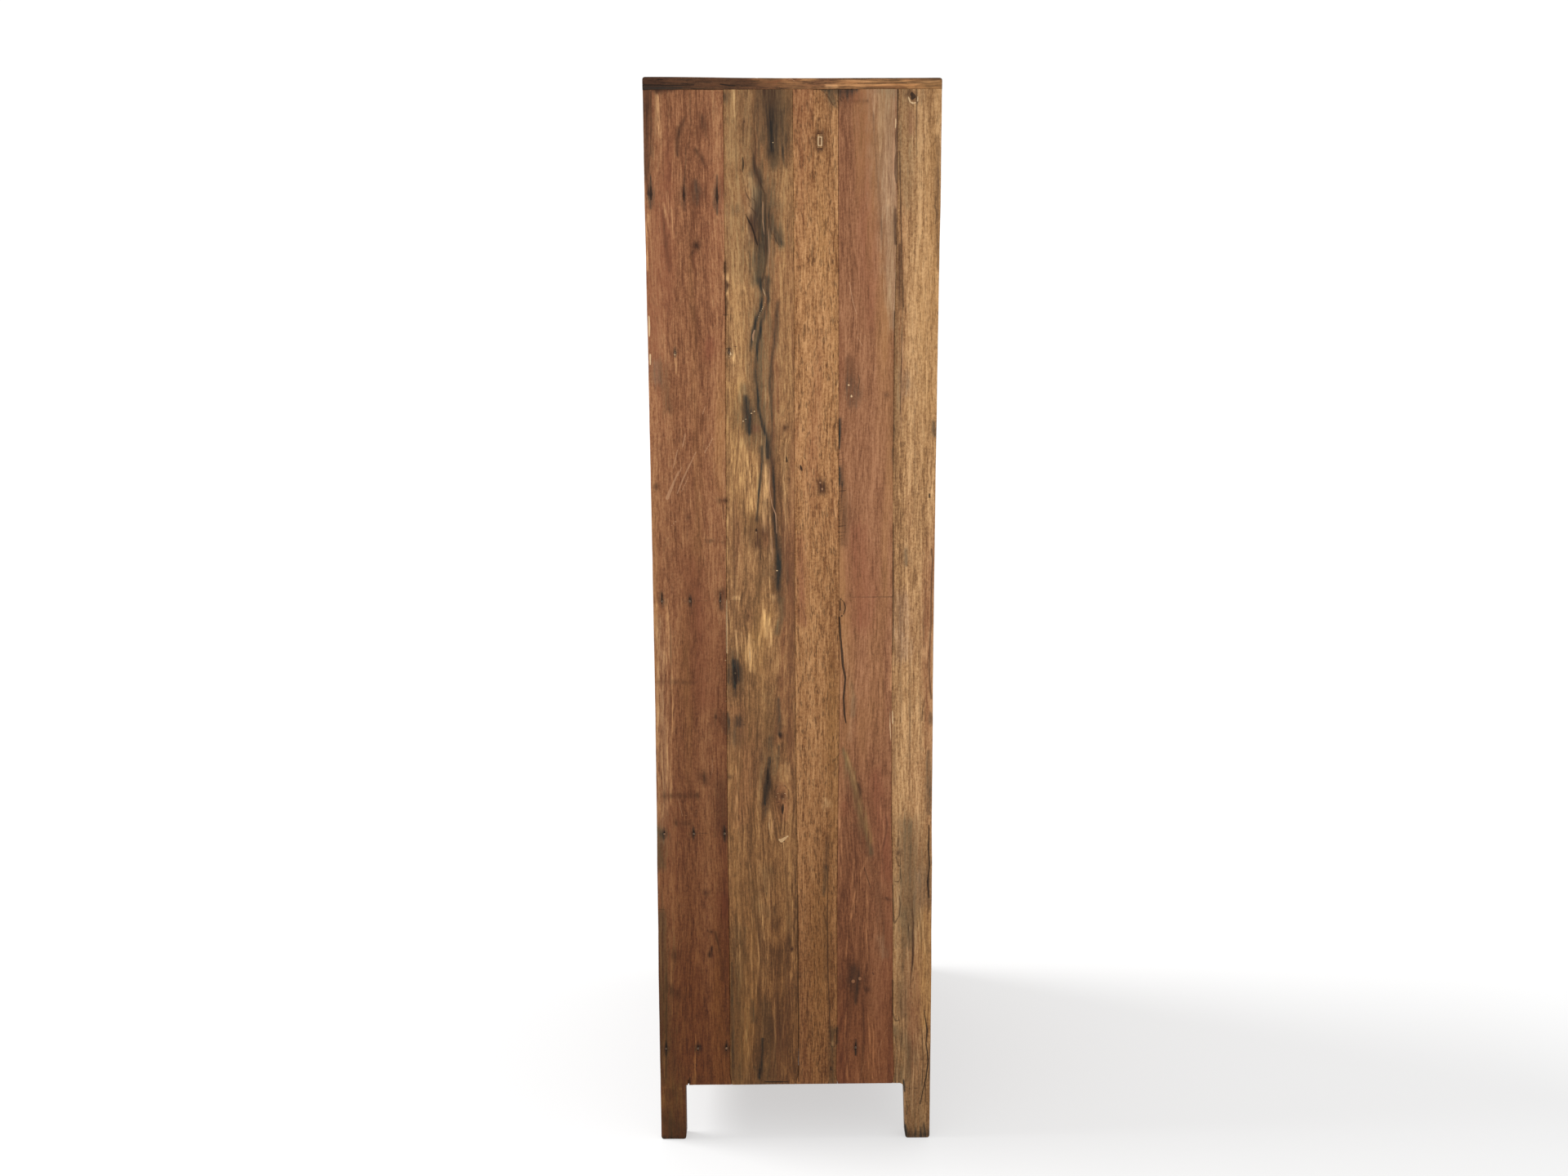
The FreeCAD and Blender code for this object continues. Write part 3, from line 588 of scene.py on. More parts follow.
# Marks seen on the photographed side, by board: the kind, the strength, then one or more paths of x, y and
# half width in pixels. A narrow mark may lie across a seam, and a wide one stays on its own board.
NARROW = 3
SIDE_MARKS = {
    1: {
        "purple brown strip down the front arris": ("umber", 0.85, [(791, 100, 6.5), (791, 160, 6),
            (791, 200, 4), (793, 238, 1)]),
        "thin dark lines": ("line", 1, [(797, 112, 0.8), (797, 150, 0.7), (796, 190, 0.5)],
            [(845, 112, 0.5), (845, 165, 0.4), (842, 184, 0.3)], [(838, 222, 0.6), (840, 196, 0.5),
            (839, 177, 0.3)], [(886, 617, 0.6), (886, 636, 0.5)], [(846, 733, 0.6), (847, 752, 0.5)],
            [(849, 1304, 0.5), (851, 1302, 0.5), (853, 1305, 0.5), (851, 1309, 0.5), (849, 1306, 0.5)]),
        # Dark chips under the top, with painted shadow where the top's lower edge meets the board
        "dark chips and painted shadow under the top": ("umber", 0.8, [(800, 110, 4), (812, 110, 3.5), (824, 108, 2)]),
        "pale streaks": ("straw", 0.45, [(805, 117, 1.2), (806, 145, 1.8), (808, 168, 0.8)], [(816, 735, 2),
            (819, 780, 2), (823, 830, 0.8)]),
        "faint pale streaks": ("straw", 0.4, [(818, 113, 0.8), (818, 154, 0.8)], [(803, 740, 1.5),
            (805, 790, 2.5), (806, 900, 2.2), (808, 1000, 1.5)], [(826, 420, 0.7), (827, 440, 1.2),
            (828, 458, 0.7)], [(813, 776, 0.8), (812, 845, 0.8)], [(810, 905, 0.9), (811, 1000, 1)]),
        "brown feather and spots": ("umber", 0.7, [(839, 143, 1.2), (833, 157, 2.6), (829, 170, 2),
            (830, 191, 1.2)], [(882, 613, 2.6), (889, 613, 2.6)], [(877.5, 878, 2.6)]),
        "soft brown spots": ("umber", 0.5, [(838, 146, 1.2), (834, 163, 2)], [(861, 144, 3.5),
            (861, 155, 4.5)], [(861, 950, 5), (864, 956, 4)], [(867, 1140, 1.5), (875, 1142, 1.6),
            (880, 1155, 1.7), (884, 1176, 1.7), (885, 1200, 2)], [(820, 1212, 5), (828, 1216, 5)],
            [(822, 1336, 3), (821, 1345, 2)]),
        "brown patches": ("umber", 0.45, [(851, 183, 1.5), (860, 195, 2.6), (864, 203, 1.5)],
            [(820, 1168, 4), (828, 1172, 4)]),
        "grey clouds": ("stain", 0.35, [(797, 226, 2.5), (798, 252, 3.5)], [(812, 1368, 6),
            (834, 1384, 8)]),
        "grey stain": ("stain", 0.55, [(851, 222, 2.5), (852, 236, 5.5), (852, 250, 3)]),
        "faint brown bands": ("umber", 0.35, [(886, 222, 4), (886, 232, 4)], [(811, 258, 1.2),
            (815, 295, 2.2), (820, 332, 1.2)], [(865, 663, 1.5), (876, 662, 1.6), (887, 665, 1.8)],
            [(804, 835, 2.5), (850, 836, 2)]),
        "round spot": ("umber", 1.0, [(852.5, 300.5, 3.6)]),
        # The two dots low by the front foot are painted shade inside the sawn slot; the others are dark holes
        "dark dots and painted shade of the slot": ("crack", 1, [(852.5, 300.5, 1)], [(844.8, 1319, 0.6), (844.8, 1327, 0.8)],
            [(826, 433, 0.6)], [(859.6, 944, 0.9)]),
        "brown tails and ring": ("umber", 0.6, [(852, 303, 2), (848, 309, 1.4), (844, 315, 0.8)],
            [(883, 726, 4)], [(856, 1318, 2), (857, 1324, 3)]),
        "thin pale lines": ("straw", 0.35, [(812, 250, 1.5), (820, 278, 1.5)], [(810, 1332, 0.6),
            (838, 1333, 0.6)]),
        "broad pale slant": ("straw", 0.25, [(816, 235, 1.5), (821, 265, 2.4), (826, 290, 1.5)]),
        "pale edge streaks": ("straw", 0.5, [(792, 262, 1.2), (793, 330, 1)], [(816, 760, 0.7),
            (817, 860, 1), (817, 990, 0.7)]),
        "bright chips and pinhole": ("glint", 1, [(794.5, 387, 0.7), (795, 400, 1.2), (795, 412, 0.6)],
            [(796, 434, 1), (796, 446, 0.8)], [(826.4, 429, 0.8), (826.4, 434, 1.2)]),
        "dim spot": ("umber", 0.4, [(849, 378, 3)]),
        "rosy spots": ("rose", 0.6, [(869, 420, 5), (868, 435, 5)], [(886, 1098, 7), (887, 1118, 7)]),
        "brown cloud and saw bands": ("umber", 0.42, [(808, 448, 6), (809, 462, 9), (812, 474, 6)],
            [(811, 975, 3), (852, 974, 3.5)], [(829, 1008, 4), (843, 1009, 4)]),
        "brown cloud's tail": ("umber", 0.38, [(815, 470, 5), (819, 500, 5)]),
        "grey in the cloud": ("ash", 0.5, [(803, 445, 3), (805, 466, 4)]),
        "pale scratches": ("scratch", 1, [(852, 554, 0.7), (837, 585, 1.1), (829, 605, 0.7)],
            [(831, 576, 0.6), (824, 593, 1.5), (817, 610, 2.2)], [(830, 550, 0.6), (824, 574, 0.7)],
            [(835, 572, 0.6), (830, 583, 0.6)], [(843, 584, 0.5), (835, 601, 0.8)], [(864, 497, 0.6),
            (860, 508, 0.6)], [(839, 531, 0.7), (836, 547, 0.9)], [(873, 536, 0.7), (863, 554, 0.7)],
            [(828, 638, 0.7), (822, 644, 0.7)], [(872, 930, 0.4), (873, 942, 0.5), (869, 956, 0.4)],
            [(830, 977, 0.5), (836, 1000, 0.6), (853, 994, 0.4)]),
        "small brown spots": ("umber", 0.55, [(804.5, 596, 3.2)], [(843, 633.5, 2)]),
        "low rosy shade": ("rose", 0.45, [(845, 690, 10), (860, 780, 14), (862, 860, 12)]),
        "shade under the third nail": ("stain", 0.3, [(883, 733, 3), (884, 745, 3)]),
        "pale edges": ("straw", 0.3, [(805, 840, 1.5), (809, 870, 3), (806, 905, 2)], [(811, 1332, 1.4),
            (812, 1356, 1.2)]),
        "tan edge": ("ash", 0.25, [(806, 760, 5), (810, 860, 7), (811, 960, 7), (812, 1030, 4)]),
        "long thin streak": ("straw", 0.65, [(822, 780, 0.9), (823.5, 880, 1), (821, 985, 0.8)]),
        "shade round the ring spot": ("umber", 0.3, [(880, 880, 7)]),
        "seam stain, left": ("stain", 0.5, [(887, 874, 2), (887, 886, 3), (888, 898, 2)]),
        "dark by the first seam": ("shade", 0.3, [(882, 960, 8), (884, 1010, 9)]),
        "ashen edge": ("olive", 0.7, [(808, 1018, 5), (809, 1060, 5)]),
        "low brown spots": ("umber", 0.65, [(863, 1093.5, 3.2)], [(872, 1160, 1.4), (869, 1170, 2.2)]),
        "olive edge": ("olive", 0.65, [(811, 1120, 6), (813, 1250, 9), (814, 1320, 14)]),
        "filler streak": ("straw", 0.42, [(852, 1266, 0.9), (852, 1290, 1.6), (851, 1325, 1.6)]),
        "crumbs": ("stain", 0.8, [(853, 1280, 1.6), (858, 1281, 2), (859, 1286, 1.5)]),
        "olive foot": ("gold", 0.2, [(824, 1334, 16), (824, 1360, 16)]),
        "grey of the foot": ("olive", 0.6, [(824, 1334, 16), (824, 1392, 16)]),
        "low dark of the foot": ("stain", 0.25, [(819, 1362, 5), (822, 1390, 7)]),
        "worn foot end": ("stain", 0.6, [(810, 1395, 4), (838, 1395, 4)]),
    },
    2: {
        "grey patch": ("stain", 0.6, [(887, 117, 4), (887, 121, 3.5)]),
        "pale streaks and ridges": ("straw", 0.55, [(898.5, 109, 1.4), (899, 142, 1)], [(911.5, 264, 1),
            (913, 276, 1.4), (918, 292, 1)], [(938, 572, 2.5), (937, 600, 4), (934, 630, 3),
            (936, 650, 1.5)], [(943, 758, 0.8), (944, 774, 1.3), (943, 792, 0.8)], [(923, 786, 0.8),
            (923.5, 804, 1.3), (924, 824, 0.8)], [(912, 780, 0.8), (912.5, 796, 1.2), (913, 812, 0.8)]),
        "thin dark lines": ("line", 1, [(915, 109, 0.7), (915, 121, 0.4)], [(910, 152, 0.5),
            (910, 190, 0.4)], [(888, 318, 0.4), (888.4, 350, 0.7), (888.8, 392, 0.5)], [(885, 386, 0.7),
            (893, 386, 0.7)], [(886, 428, 0.7), (895, 426, 0.9), (902, 424, 0.6)], [(913, 504, 0.4),
            (915, 511, 0.8), (917, 519, 0.4)], [(932, 560, 0.6), (930, 600, 0.8), (927, 634, 0.6),
            (928, 645, 0.3)], [(930.5, 660, 0.8), (931.5, 686, 0.7)], [(905, 886, 0.6), (912, 887.5, 0.5)],
            [(948, 970, 0.4), (952, 962, 0.6), (960, 961, 0.6), (966, 968, 0.6), (966, 978, 0.6),
            (960, 984, 0.5), (951, 982, 0.4)]),
        "greyish upper half": ("olive", 0.22, [(905, 108, 16), (905, 200, 16), (905, 330, 12)]),
        "grey head and vein": ("olive", 0.9, [(945, 100, 17), (947, 160, 15), (949, 200, 7)],
            [(932, 240, 12), (931, 262, 15), (933, 285, 13), (932, 305, 9), (930, 342, 8)]),
        "dark of the head and left crack": ("umber", 0.5, [(940, 104, 20), (943, 150, 17), (946, 190, 12)],
            [(964, 108, 5), (965, 150, 4.5), (963, 205, 2)], [(916, 265, 3), (923, 280, 4), (928, 298, 4)]),
        "grey smoke and streaks": ("stain", 0.45, [(945, 138, 6), (946, 160, 9), (948, 186, 5)],
            [(953, 660, 4), (954, 700, 9), (954, 735, 3)], [(953.8, 914, 1.5), (953.5, 934, 2),
            (950, 945, 1)], [(921, 1226, 2), (923, 1250, 2.5)]),
        "iron stain and left vein": ("stain", 0.75, [(945, 150, 3), (946, 170, 5.5), (947, 184, 3)],
            [(932, 548, 2), (933, 566, 1.6), (931, 588, 1.5), (928, 614, 1.3), (927, 637, 1.3)],
            [(943, 548, 2.2), (946, 573, 2.4), (947.5, 593, 2), (948.5, 617, 1.6), (947.5, 630, 1.6),
            (949, 648, 1.8), (951, 662, 2.6), (953, 680, 4)]),
        "bright dots and slashes": ("glint", 1, [(946.4, 174.8, 0.7)], [(891, 431, 0.6), (894, 431, 0.7),
            (895, 434, 0.7), (893, 436, 0.7)], [(925, 503, 0.5), (918, 507.5, 0.7)], [(915, 512, 0.5),
            (908.5, 517, 0.6)], [(951.5, 699, 1.1)], [(926, 652, 0.6)], [(889.5, 734, 0.5),
            (889.8, 800, 0.6)], [(900.4, 824.4, 1.3)], [(940, 956, 0.8)], [(954, 1028, 1),
            (957, 1029.5, 2.4), (961, 1026.5, 1.5), (966, 1023, 0.7)], [(930.8, 1310, 0.6)]),
        "side streak and left spread": ("stain", 0.4, [(957, 136, 2), (959, 165, 3), (958, 196, 2)],
            [(916, 214, 3), (922, 212, 5), (930, 208, 6)]),
        "black holes and cracks": ("crack", 1, [(909.6, 191, 0.4), (910, 202, 1.1), (909, 211, 0.4)],
            [(913, 262, 0.5), (917, 271, 1.1), (920.5, 277, 0.9), (925.8, 294, 0.9), (928, 301, 0.5)],
            [(926, 649, 1.6)], [(899.5, 817, 0.8), (900.5, 825, 2.6), (901, 833, 1.8), (902, 838, 0.5)],
            [(940.5, 940, 0.5), (940, 953, 1.8), (940, 961, 0.4)], [(959, 984, 0.6), (958.5, 990, 1.7),
            (958, 997, 0.5)], [(956, 1033, 0.6), (963, 1029, 0.4)], [(930.7, 1308, 0.8), (930.5, 1315, 1)],
            [(937, 1325, 0.6), (952, 1325, 1), (965, 1325, 0.6)]),
        "splinters of the vein line": ("line", 1, [(923.7, 120, 0.3), (923.7, 157, 0.7), (925.2, 182, 1),
            (924.3, 200, 1.2), (927.9, 216, 1.1), (931, 225, 0.9), (936.3, 237, 0.9), (937, 258, 0.8),
            (938.4, 271, 1.1), (937.4, 290, 0.8), (938.4, 311, 0.9), (936.3, 332, 1), (933, 345, 0.8)],
            [(912, 232, 0.5), (915, 240, 0.8), (919, 246, 0.7), (917, 252, 0.6), (922, 257, 0.8),
            (926, 263, 0.8)], [(917, 246, 0.6), (921, 243, 0.7), (925, 246, 0.6), (926, 254, 0.6)],
            [(931, 262, 0.5), (930, 278, 0.8), (933, 296, 0.5)], [(943, 252, 0.5), (942, 272, 0.7),
            (945, 288, 0.5)], [(927, 270, 0.4), (929, 290, 0.7), (926, 310, 0.4)], [(920, 262, 0.4),
            (922, 282, 0.6), (921, 306, 0.3)], [(936, 300, 0.4), (938, 318, 0.7), (936, 342, 0.4)],
            [(947, 286, 0.4), (951, 296, 0.7), (956, 303, 0.4)]),
        "arched streaks and dark by the crack": ("umber", 0.4, [(921, 128, 3), (921, 170, 3), (922, 205, 5),
            (930, 222, 6)], [(925, 1120, 1.2), (933, 1170, 1.6), (928, 1230, 1.6), (922, 1300, 1.4)],
            [(948, 1110, 1.2), (955, 1160, 1.6), (952, 1220, 1.6), (958, 1300, 1.4)]),
        "pale islands and highlights": ("straw", 0.6, [(918, 218, 4), (921, 236, 5), (918, 252, 4),
            (915, 268, 2)], [(911.4, 471, 0.8), (912, 489, 0.9)], [(914, 559, 0.8), (921, 595, 1.5),
            (927, 627, 0.9)], [(908, 775, 0.9), (908, 800, 0.9)]),
        "rosy island and knot halo": ("rose", 0.35, [(912, 240, 5), (919, 262, 5), (922, 290, 4)],
            [(957, 965, 7), (959, 990, 8), (958, 1002, 5)]),
        "grey spots and smoke": ("stain", 0.5, [(901.6, 252, 2), (901.6, 260, 3)], [(941, 262, 4),
            (947, 280, 5), (953, 292, 5.5), (957, 298, 3)], [(911, 474, 4), (914, 505, 12), (918, 532, 9),
            (919, 550, 3)], [(898, 800, 5), (899, 825, 9), (899, 850, 5)], [(944, 905, 4), (941, 945, 9),
            (937, 985, 5), (936, 1000, 2)]),
        "main vein": ("stain", 0.36, [(930, 206, 9), (935, 235, 12), (934, 262, 15), (935, 285, 12),
            (932, 305, 9), (930, 342, 8)]),
        "vein's brown": ("umber", 0.25, [(932, 222, 4), (934, 245, 6), (932, 270, 10), (933, 300, 8)]),
        "vein's grey": ("stain", 0.42, [(933, 236, 3), (935, 262, 5), (934, 290, 6), (931, 320, 7.5),
            (931, 346, 5)]),
        "pale splinters and threads": ("scratch", 1, [(934, 246, 0.4), (934, 270, 0.5), (936, 288, 0.3)],
            [(941, 280, 0.4), (942, 310, 0.5), (940, 335, 0.4)], [(924, 404, 0.8), (922, 411, 1),
            (922, 418, 0.5)], [(943, 573, 0.3), (942, 596, 0.5), (945.5, 619, 0.5), (950, 630, 0.6),
            (951, 654, 0.3)], [(945, 656, 0.3), (946, 688, 0.5)], [(949, 1000, 0.4), (946, 1012, 0.7),
            (944.5, 1028, 0.3)]),
        "grey branch and strand": ("olive", 0.7, [(943, 264, 6), (951, 284, 7), (957, 300, 5)],
            [(956, 734, 3), (957, 755, 3), (951, 775, 3)]),
        "dark strands": ("stain", 0.8, [(932, 343, 4), (935, 361, 2.2), (932, 378, 2), (925, 395, 2),
            (920.5, 412, 1.8), (918.6, 430, 1.4)], [(938, 340, 2), (940, 366, 2.2), (935, 387, 2.4),
            (931, 404, 2), (926, 436, 2), (925, 458, 2), (927, 473, 2.2), (928, 496, 2.2), (933, 519, 3),
            (939, 534, 2.6), (941, 560, 2)]),
        "faint smoke and streak": ("stain", 0.35, [(933, 380, 5), (926, 430, 6), (927, 490, 6),
            (936, 530, 7)], [(953, 856, 2), (954, 880, 3), (955, 898, 3)]),
        "bright threads": ("glint", 0.9, [(933, 350, 0.4), (937, 362, 0.5), (937, 370, 0.6),
            (931, 383, 0.7), (927, 393, 0.5)], [(917.5, 790, 0.3), (918, 800, 0.8), (918.5, 811, 0.3)],
            [(950, 973, 0.6), (956, 970, 0.7), (963, 972, 0.6), (964, 977, 0.6), (956, 979, 0.6),
            (950, 976, 0.5)], [(943, 998, 0.4), (941.5, 1010, 0.7), (943, 1024, 0.4)]),
        "third strand and lower stain": ("stain", 0.65, [(953, 370, 1.6), (950, 397, 2.6), (948, 420, 2.4),
            (944.5, 442, 2.2), (942.5, 467, 1.8), (944.6, 496, 1.7), (946, 527, 1.7), (942.5, 549, 3.4)],
            [(903, 880, 4), (903, 887, 4.5)]),
        "shade between the strands": ("olive", 0.5, [(934, 350, 9), (932, 420, 11), (934, 500, 11),
            (938, 550, 10)]),
        "seam chips": ("umber", 0.7, [(888.5, 345, 1.8), (889.5, 350, 2.6), (889, 356, 1.5)]),
        "seam chips above and below": ("umber", 0.6, [(888, 322, 1), (888.5, 330, 1.8), (888, 336, 1)],
            [(889, 364, 1), (890, 371, 1.8), (889, 384, 1)]),
        "seam patches and threads": ("straw", 0.45, [(889.5, 341, 2.6), (890, 344, 2.2)],
            [(889.5, 354, 2.6), (890, 358, 2.2)], [(898, 436, 0.9), (898, 460, 0.7)], [(905.5, 1158, 0.8),
            (908.5, 1218, 0.9)]),
        "pale shapes": ("straw", 0.4, [(891, 434, 4), (897, 434, 4)], [(962, 938, 4), (965, 952, 3)]),
        "golden field": ("gold", 0.3, [(903, 480, 10), (908, 540, 14), (915, 600, 14), (922, 640, 8)]),
        "pale field and foot": ("straw", 0.3, [(908, 540, 5), (914, 580, 8), (918, 620, 5)], [(944, 998, 4),
            (944, 1012, 3), (944, 1028, 0.8)]),
        "upper pale streaks": ("straw", 0.5, [(906, 480, 0.7), (907, 492, 0.7)], [(932, 757, 0.8),
            (932, 775, 1.2), (933, 796, 0.8)], [(930, 775, 0.8), (928, 792, 1.3), (927, 805, 0.8)],
            [(927, 1052, 1.4), (932, 1075, 2.2), (933, 1118, 1.5), (935, 1150, 0.8)], [(911.5, 1178, 0.7),
            (914, 1210, 0.9), (917, 1235, 0.6)]),
        "darkest iron stains": ("stain", 1.0, [(913, 486, 3), (914, 502, 6.5), (916, 515, 7),
            (918, 530, 4)], [(899, 809, 4), (900, 820, 8), (900, 831, 8), (899, 841, 3)]),
        "rosy halo": ("rose", 0.7, [(925.5, 525, 4)]),
        "hub of the veins": ("stain", 0.2, [(936, 540, 5), (938, 562, 5)]),
        "brown of the right vein": ("umber", 0.2, [(943, 548, 5), (948, 600, 4), (950, 650, 4)]),
        "low iron stains": ("stain", 0.85, [(952, 676, 2.5), (953, 692, 5), (953, 706, 6), (953, 722, 3)],
            [(934, 1272, 1), (933, 1294, 1.6), (931, 1310, 3.2), (930, 1320, 2)]),
        "brown nail cloud": ("umber", 0.62, [(924, 636, 7), (926, 650, 10), (926, 666, 6)]),
        "rosy cloud": ("rose", 0.2, [(936, 640, 5), (940, 665, 5)]),
        "pale chip": ("straw", 0.7, [(899, 732, 1.8), (903, 732, 1.8)]),
        "pale chip and highlight": ("straw", 0.75, [(947, 731, 2.6)], [(901, 772, 0.9), (902, 792, 1.6),
            (903, 806, 1)]),
        "golden patch": ("gold", 0.4, [(938, 755, 6), (934, 775, 7), (916, 800, 10), (921, 818, 6)]),
        "highlight": ("straw", 0.85, [(917, 778, 1.2), (918, 800, 3.6), (919, 822, 1.2)]),
        "second highlight": ("straw", 0.8, [(936, 748, 1.5), (937.5, 762, 3.6), (938, 780, 1.5)]),
        "brown under the hole": ("umber", 0.45, [(899, 846, 5), (901, 850, 5)]),
        "seam stain": ("stain", 0.7, [(890, 874, 2), (890.5, 886, 3), (890, 898, 2)]),
        "dirty patch and grey streak": ("stain", 0.3, [(899, 893, 6), (901, 909, 5)], [(896, 1180, 1.5),
            (896, 1250, 3), (899, 1322, 3)]),
        "warm field": ("rose", 0.22, [(900, 870, 10), (915, 930, 14), (905, 1000, 12)]),
        "olive field": ("olive", 0.2, [(898, 888, 7), (902, 905, 9)]),
        "right olive field": ("olive", 0.15, [(940, 850, 6), (942, 900, 8), (938, 930, 8)]),
        "long black stain": ("stain", 0.9, [(942, 928, 2), (940, 945, 4.5), (939, 964, 5.5),
            (936, 984, 2.5)]),
        "smudge at the seam": ("umber", 0.55, [(890, 950, 3.5), (894, 952, 3)]),
        "grey field": ("olive", 0.3, [(940, 1068, 8), (926, 1105, 5), (940, 1120, 8)]),
        "low grey field": ("olive", 0.45, [(936, 1230, 6), (940, 1260, 11), (944, 1290, 12),
            (940, 1325, 14)]),
        "faint arched streaks": ("umber", 0.35, [(962, 1060, 1.2), (966, 1120, 1.4), (962, 1190, 1.6),
            (966, 1260, 1.4)], [(906, 1080, 1.2), (912, 1150, 1.6), (906, 1230, 1.6), (902, 1310, 1.4)],
            [(944, 1248, 3), (946, 1285, 4), (943, 1317, 3)]),
        "left dark streak": ("umber", 0.3, [(898, 1150, 1.5), (900, 1230, 2.5), (898, 1320, 2)]),
        "dull low left": ("olive", 0.4, [(903, 1140, 8), (905, 1230, 10), (905, 1322, 10)]),
        "long pale thread": ("straw", 0.35, [(916, 1050, 0.7), (922, 1110, 1), (919, 1180, 0.7)]),
        "low knot": ("umber", 0.85, [(968.7, 1162.4, 2.2)]),
    },
    3: {
        "torn corner under the top": ("olive", 0.95, [(1008, 109, 2.5), (1024, 111, 6), (1040, 109, 3.5)]),
        "torn corner's dark": ("stain", 0.5, [(1008, 107, 2), (1022, 111, 4), (1038, 108, 2.5)]),
        "torn corner's point": ("olive", 0.9, [(1016, 114, 5), (1021, 124, 4), (1023, 130, 1.5)]),
        "thin dark lines": ("line", 1, [(1006, 110, 0.5), (1014, 118, 0.7), (1020, 129, 0.7),
            (1027, 122, 0.6), (1034, 117, 0.5)], [(976.8, 1096, 0.6), (977, 1180, 0.9), (978, 1250, 0.8),
            (978, 1325, 0.6)], [(1014, 1060, 0.5), (1013, 1130, 0.9), (1014, 1200, 0.7), (1017, 1275, 0.7)],
            [(1016.4, 1278, 0.5), (1018, 1274.6, 0.5), (1022, 1274.6, 0.5), (1023.6, 1278, 0.5),
            (1022, 1281.5, 0.5), (1018, 1281.5, 0.5), (1016.4, 1278, 0.5)]),
        "dark dashes": ("crack", 1, [(997, 109, 0.7), (1044, 108.5, 0.9)], [(963, 559, 0.7),
            (963.5, 565, 1.1)], [(980, 570, 0.7), (982, 576, 1)], [(1017.5, 1306.5, 0.9),
            (1017.5, 1310.5, 0.9)]),
        "grey knot": ("umber", 0.5, [(958.5, 588, 3), (959, 596, 4.5)]),
        "rings of the pair": ("umber", 0.8, [(1004, 591, 4), (1007, 599, 5)]),
        "pale eyes": ("scratch", 1, [(1004.4, 591, 1.2)], [(1006.7, 599, 1.5)]),
        "rosy halo": ("rose", 0.6, [(958, 510, 7), (962, 525, 10), (965, 545, 6)]),
        "orange band": ("gold", 0.3, [(963, 600, 5), (965, 700, 6)]),
        "spot": ("umber", 0.6, [(962, 711, 3)]),
        "reddish streak": ("rose", 0.5, [(980, 660, 5), (982, 760, 5)]),
        "pale knot": ("straw", 0.75, [(1011, 980, 2.5), (1013, 985, 3.2)]),
        "pale knot's tail": ("straw", 0.6, [(1009, 985, 1.2), (1010, 993, 0.7)]),
        "pale side of the inner seam": ("straw", 0.4, [(974.8, 1095, 0.8), (975, 1180, 0.8)]),
        "dark streaks": ("stain", 0.45, [(1011, 1062, 2.5), (1010, 1085, 3), (1008, 1095, 2)]),
        "rough edge": ("umber", 0.45, [(1013, 1025, 3), (1012, 1060, 3)]),
        "strip beside the long line": ("umber", 0.3, [(1010, 1110, 2.5), (1011, 1200, 2.5)]),
        "plug": ("straw", 0.5, [(1020, 1278, 2.6)]),
        "olive side": ("olive", 0.7, [(1019, 1262, 4), (1020, 1325, 4)]),
    },
    4: {
        "rough head and red side": ("rose", 0.45, [(1046, 121, 5), (1056, 117, 7)], [(1072, 950, 8),
            (1080, 1020, 10), (1088, 1070, 8)]),
        "bar under the head": ("umber", 0.45, [(1040, 125, 1), (1062, 124, 1.2)]),
        "torn corner and chisel marks": ("stain", 0.8, [(1022, 111, 9), (1034, 110, 8), (1044, 109, 4.5),
            (1050, 108, 2)], [(1027, 515, 2), (1027, 530, 3), (1026.5, 548, 2.5)]),
        "torn corner's rim": ("line", 0.9, [(1027, 127, 0.5), (1033, 121, 0.7), (1041, 116, 0.6),
            (1051, 112, 0.4)]),
        "faint shades of corner and edge": ("umber", 0.3, [(1020, 110, 6), (1032, 108, 5),
            (1042, 107, 2.5)], [(1069, 140, 1), (1073, 200, 1), (1078, 260, 1), (1083, 330, 1)]),
        "corner's tip, comb and seam chip": ("umber", 0.5, [(1024, 120, 4), (1022, 134, 3)],
            [(1031, 596, 5), (1033, 640, 6), (1032, 665, 4)], [(1032, 740, 3), (1031, 751, 3)]),
        "rosy beside the strip": ("rose", 0.35, [(1058, 118, 7), (1059, 220, 9), (1064, 335, 9),
            (1066, 400, 6)]),
        "pale strip": ("ash", 0.7, [(1085, 100, 14), (1086, 160, 13), (1088, 215, 11.5), (1090, 260, 10),
            (1092, 330, 8), (1095, 400, 4)]),
        "pale streaks of the strip": ("straw", 0.15, [(1074, 118, 2.5), (1075, 150, 3), (1077, 185, 2)]),
        "second pale streaks": ("straw", 0.12, [(1084, 150, 2), (1086, 200, 2.5), (1088, 250, 1.5)]),
        "head of the strip and crust": ("olive", 0.35, [(1080, 108, 5), (1095, 112, 7)], [(1043, 838, 2),
            (1045, 856, 2.6), (1045, 876, 2)]),
        "pale scratches and plugs": ("scratch", 1, [(1040, 345, 0.4), (1044, 368, 0.6), (1049, 385, 0.4)],
            [(1050, 412, 0.4), (1056, 424, 0.5)], [(1086.5, 484, 0.9)], [(1044.7, 1201.7, 2.4)],
            [(1053, 1198.4, 2.2)], [(1090, 1252, 0.4), (1080, 1273, 0.6), (1076, 1287, 0.6),
            (1076, 1300, 0.5), (1078, 1325, 0.4)], [(1060, 1298, 0.4), (1051, 1324, 0.6)]),
        "thin dark lines": ("line", 1, [(1045, 430, 0.4), (1094, 428.5, 0.6)], [(1051, 458, 0.5),
            (1052.5, 468, 0.7), (1051, 476, 0.5)], [(1022, 931, 0.9), (1028, 923, 0.5)], [(1058, 1062, 0.6),
            (1066, 1087, 0.6)], [(1066, 1193, 0.7), (1069, 1191, 0.7), (1070, 1194, 0.6)]),
        "cloud over the dots": ("umber", 0.42, [(1040, 442, 4), (1042, 458, 6)]),
        "cloud round the dots": ("stain", 0.5, [(1042, 468, 6), (1045, 480, 7), (1044, 494, 4)]),
        "bright dots": ("glint", 1, [(1039.3, 471.6, 1.3)], [(1042.7, 485, 1.5)]),
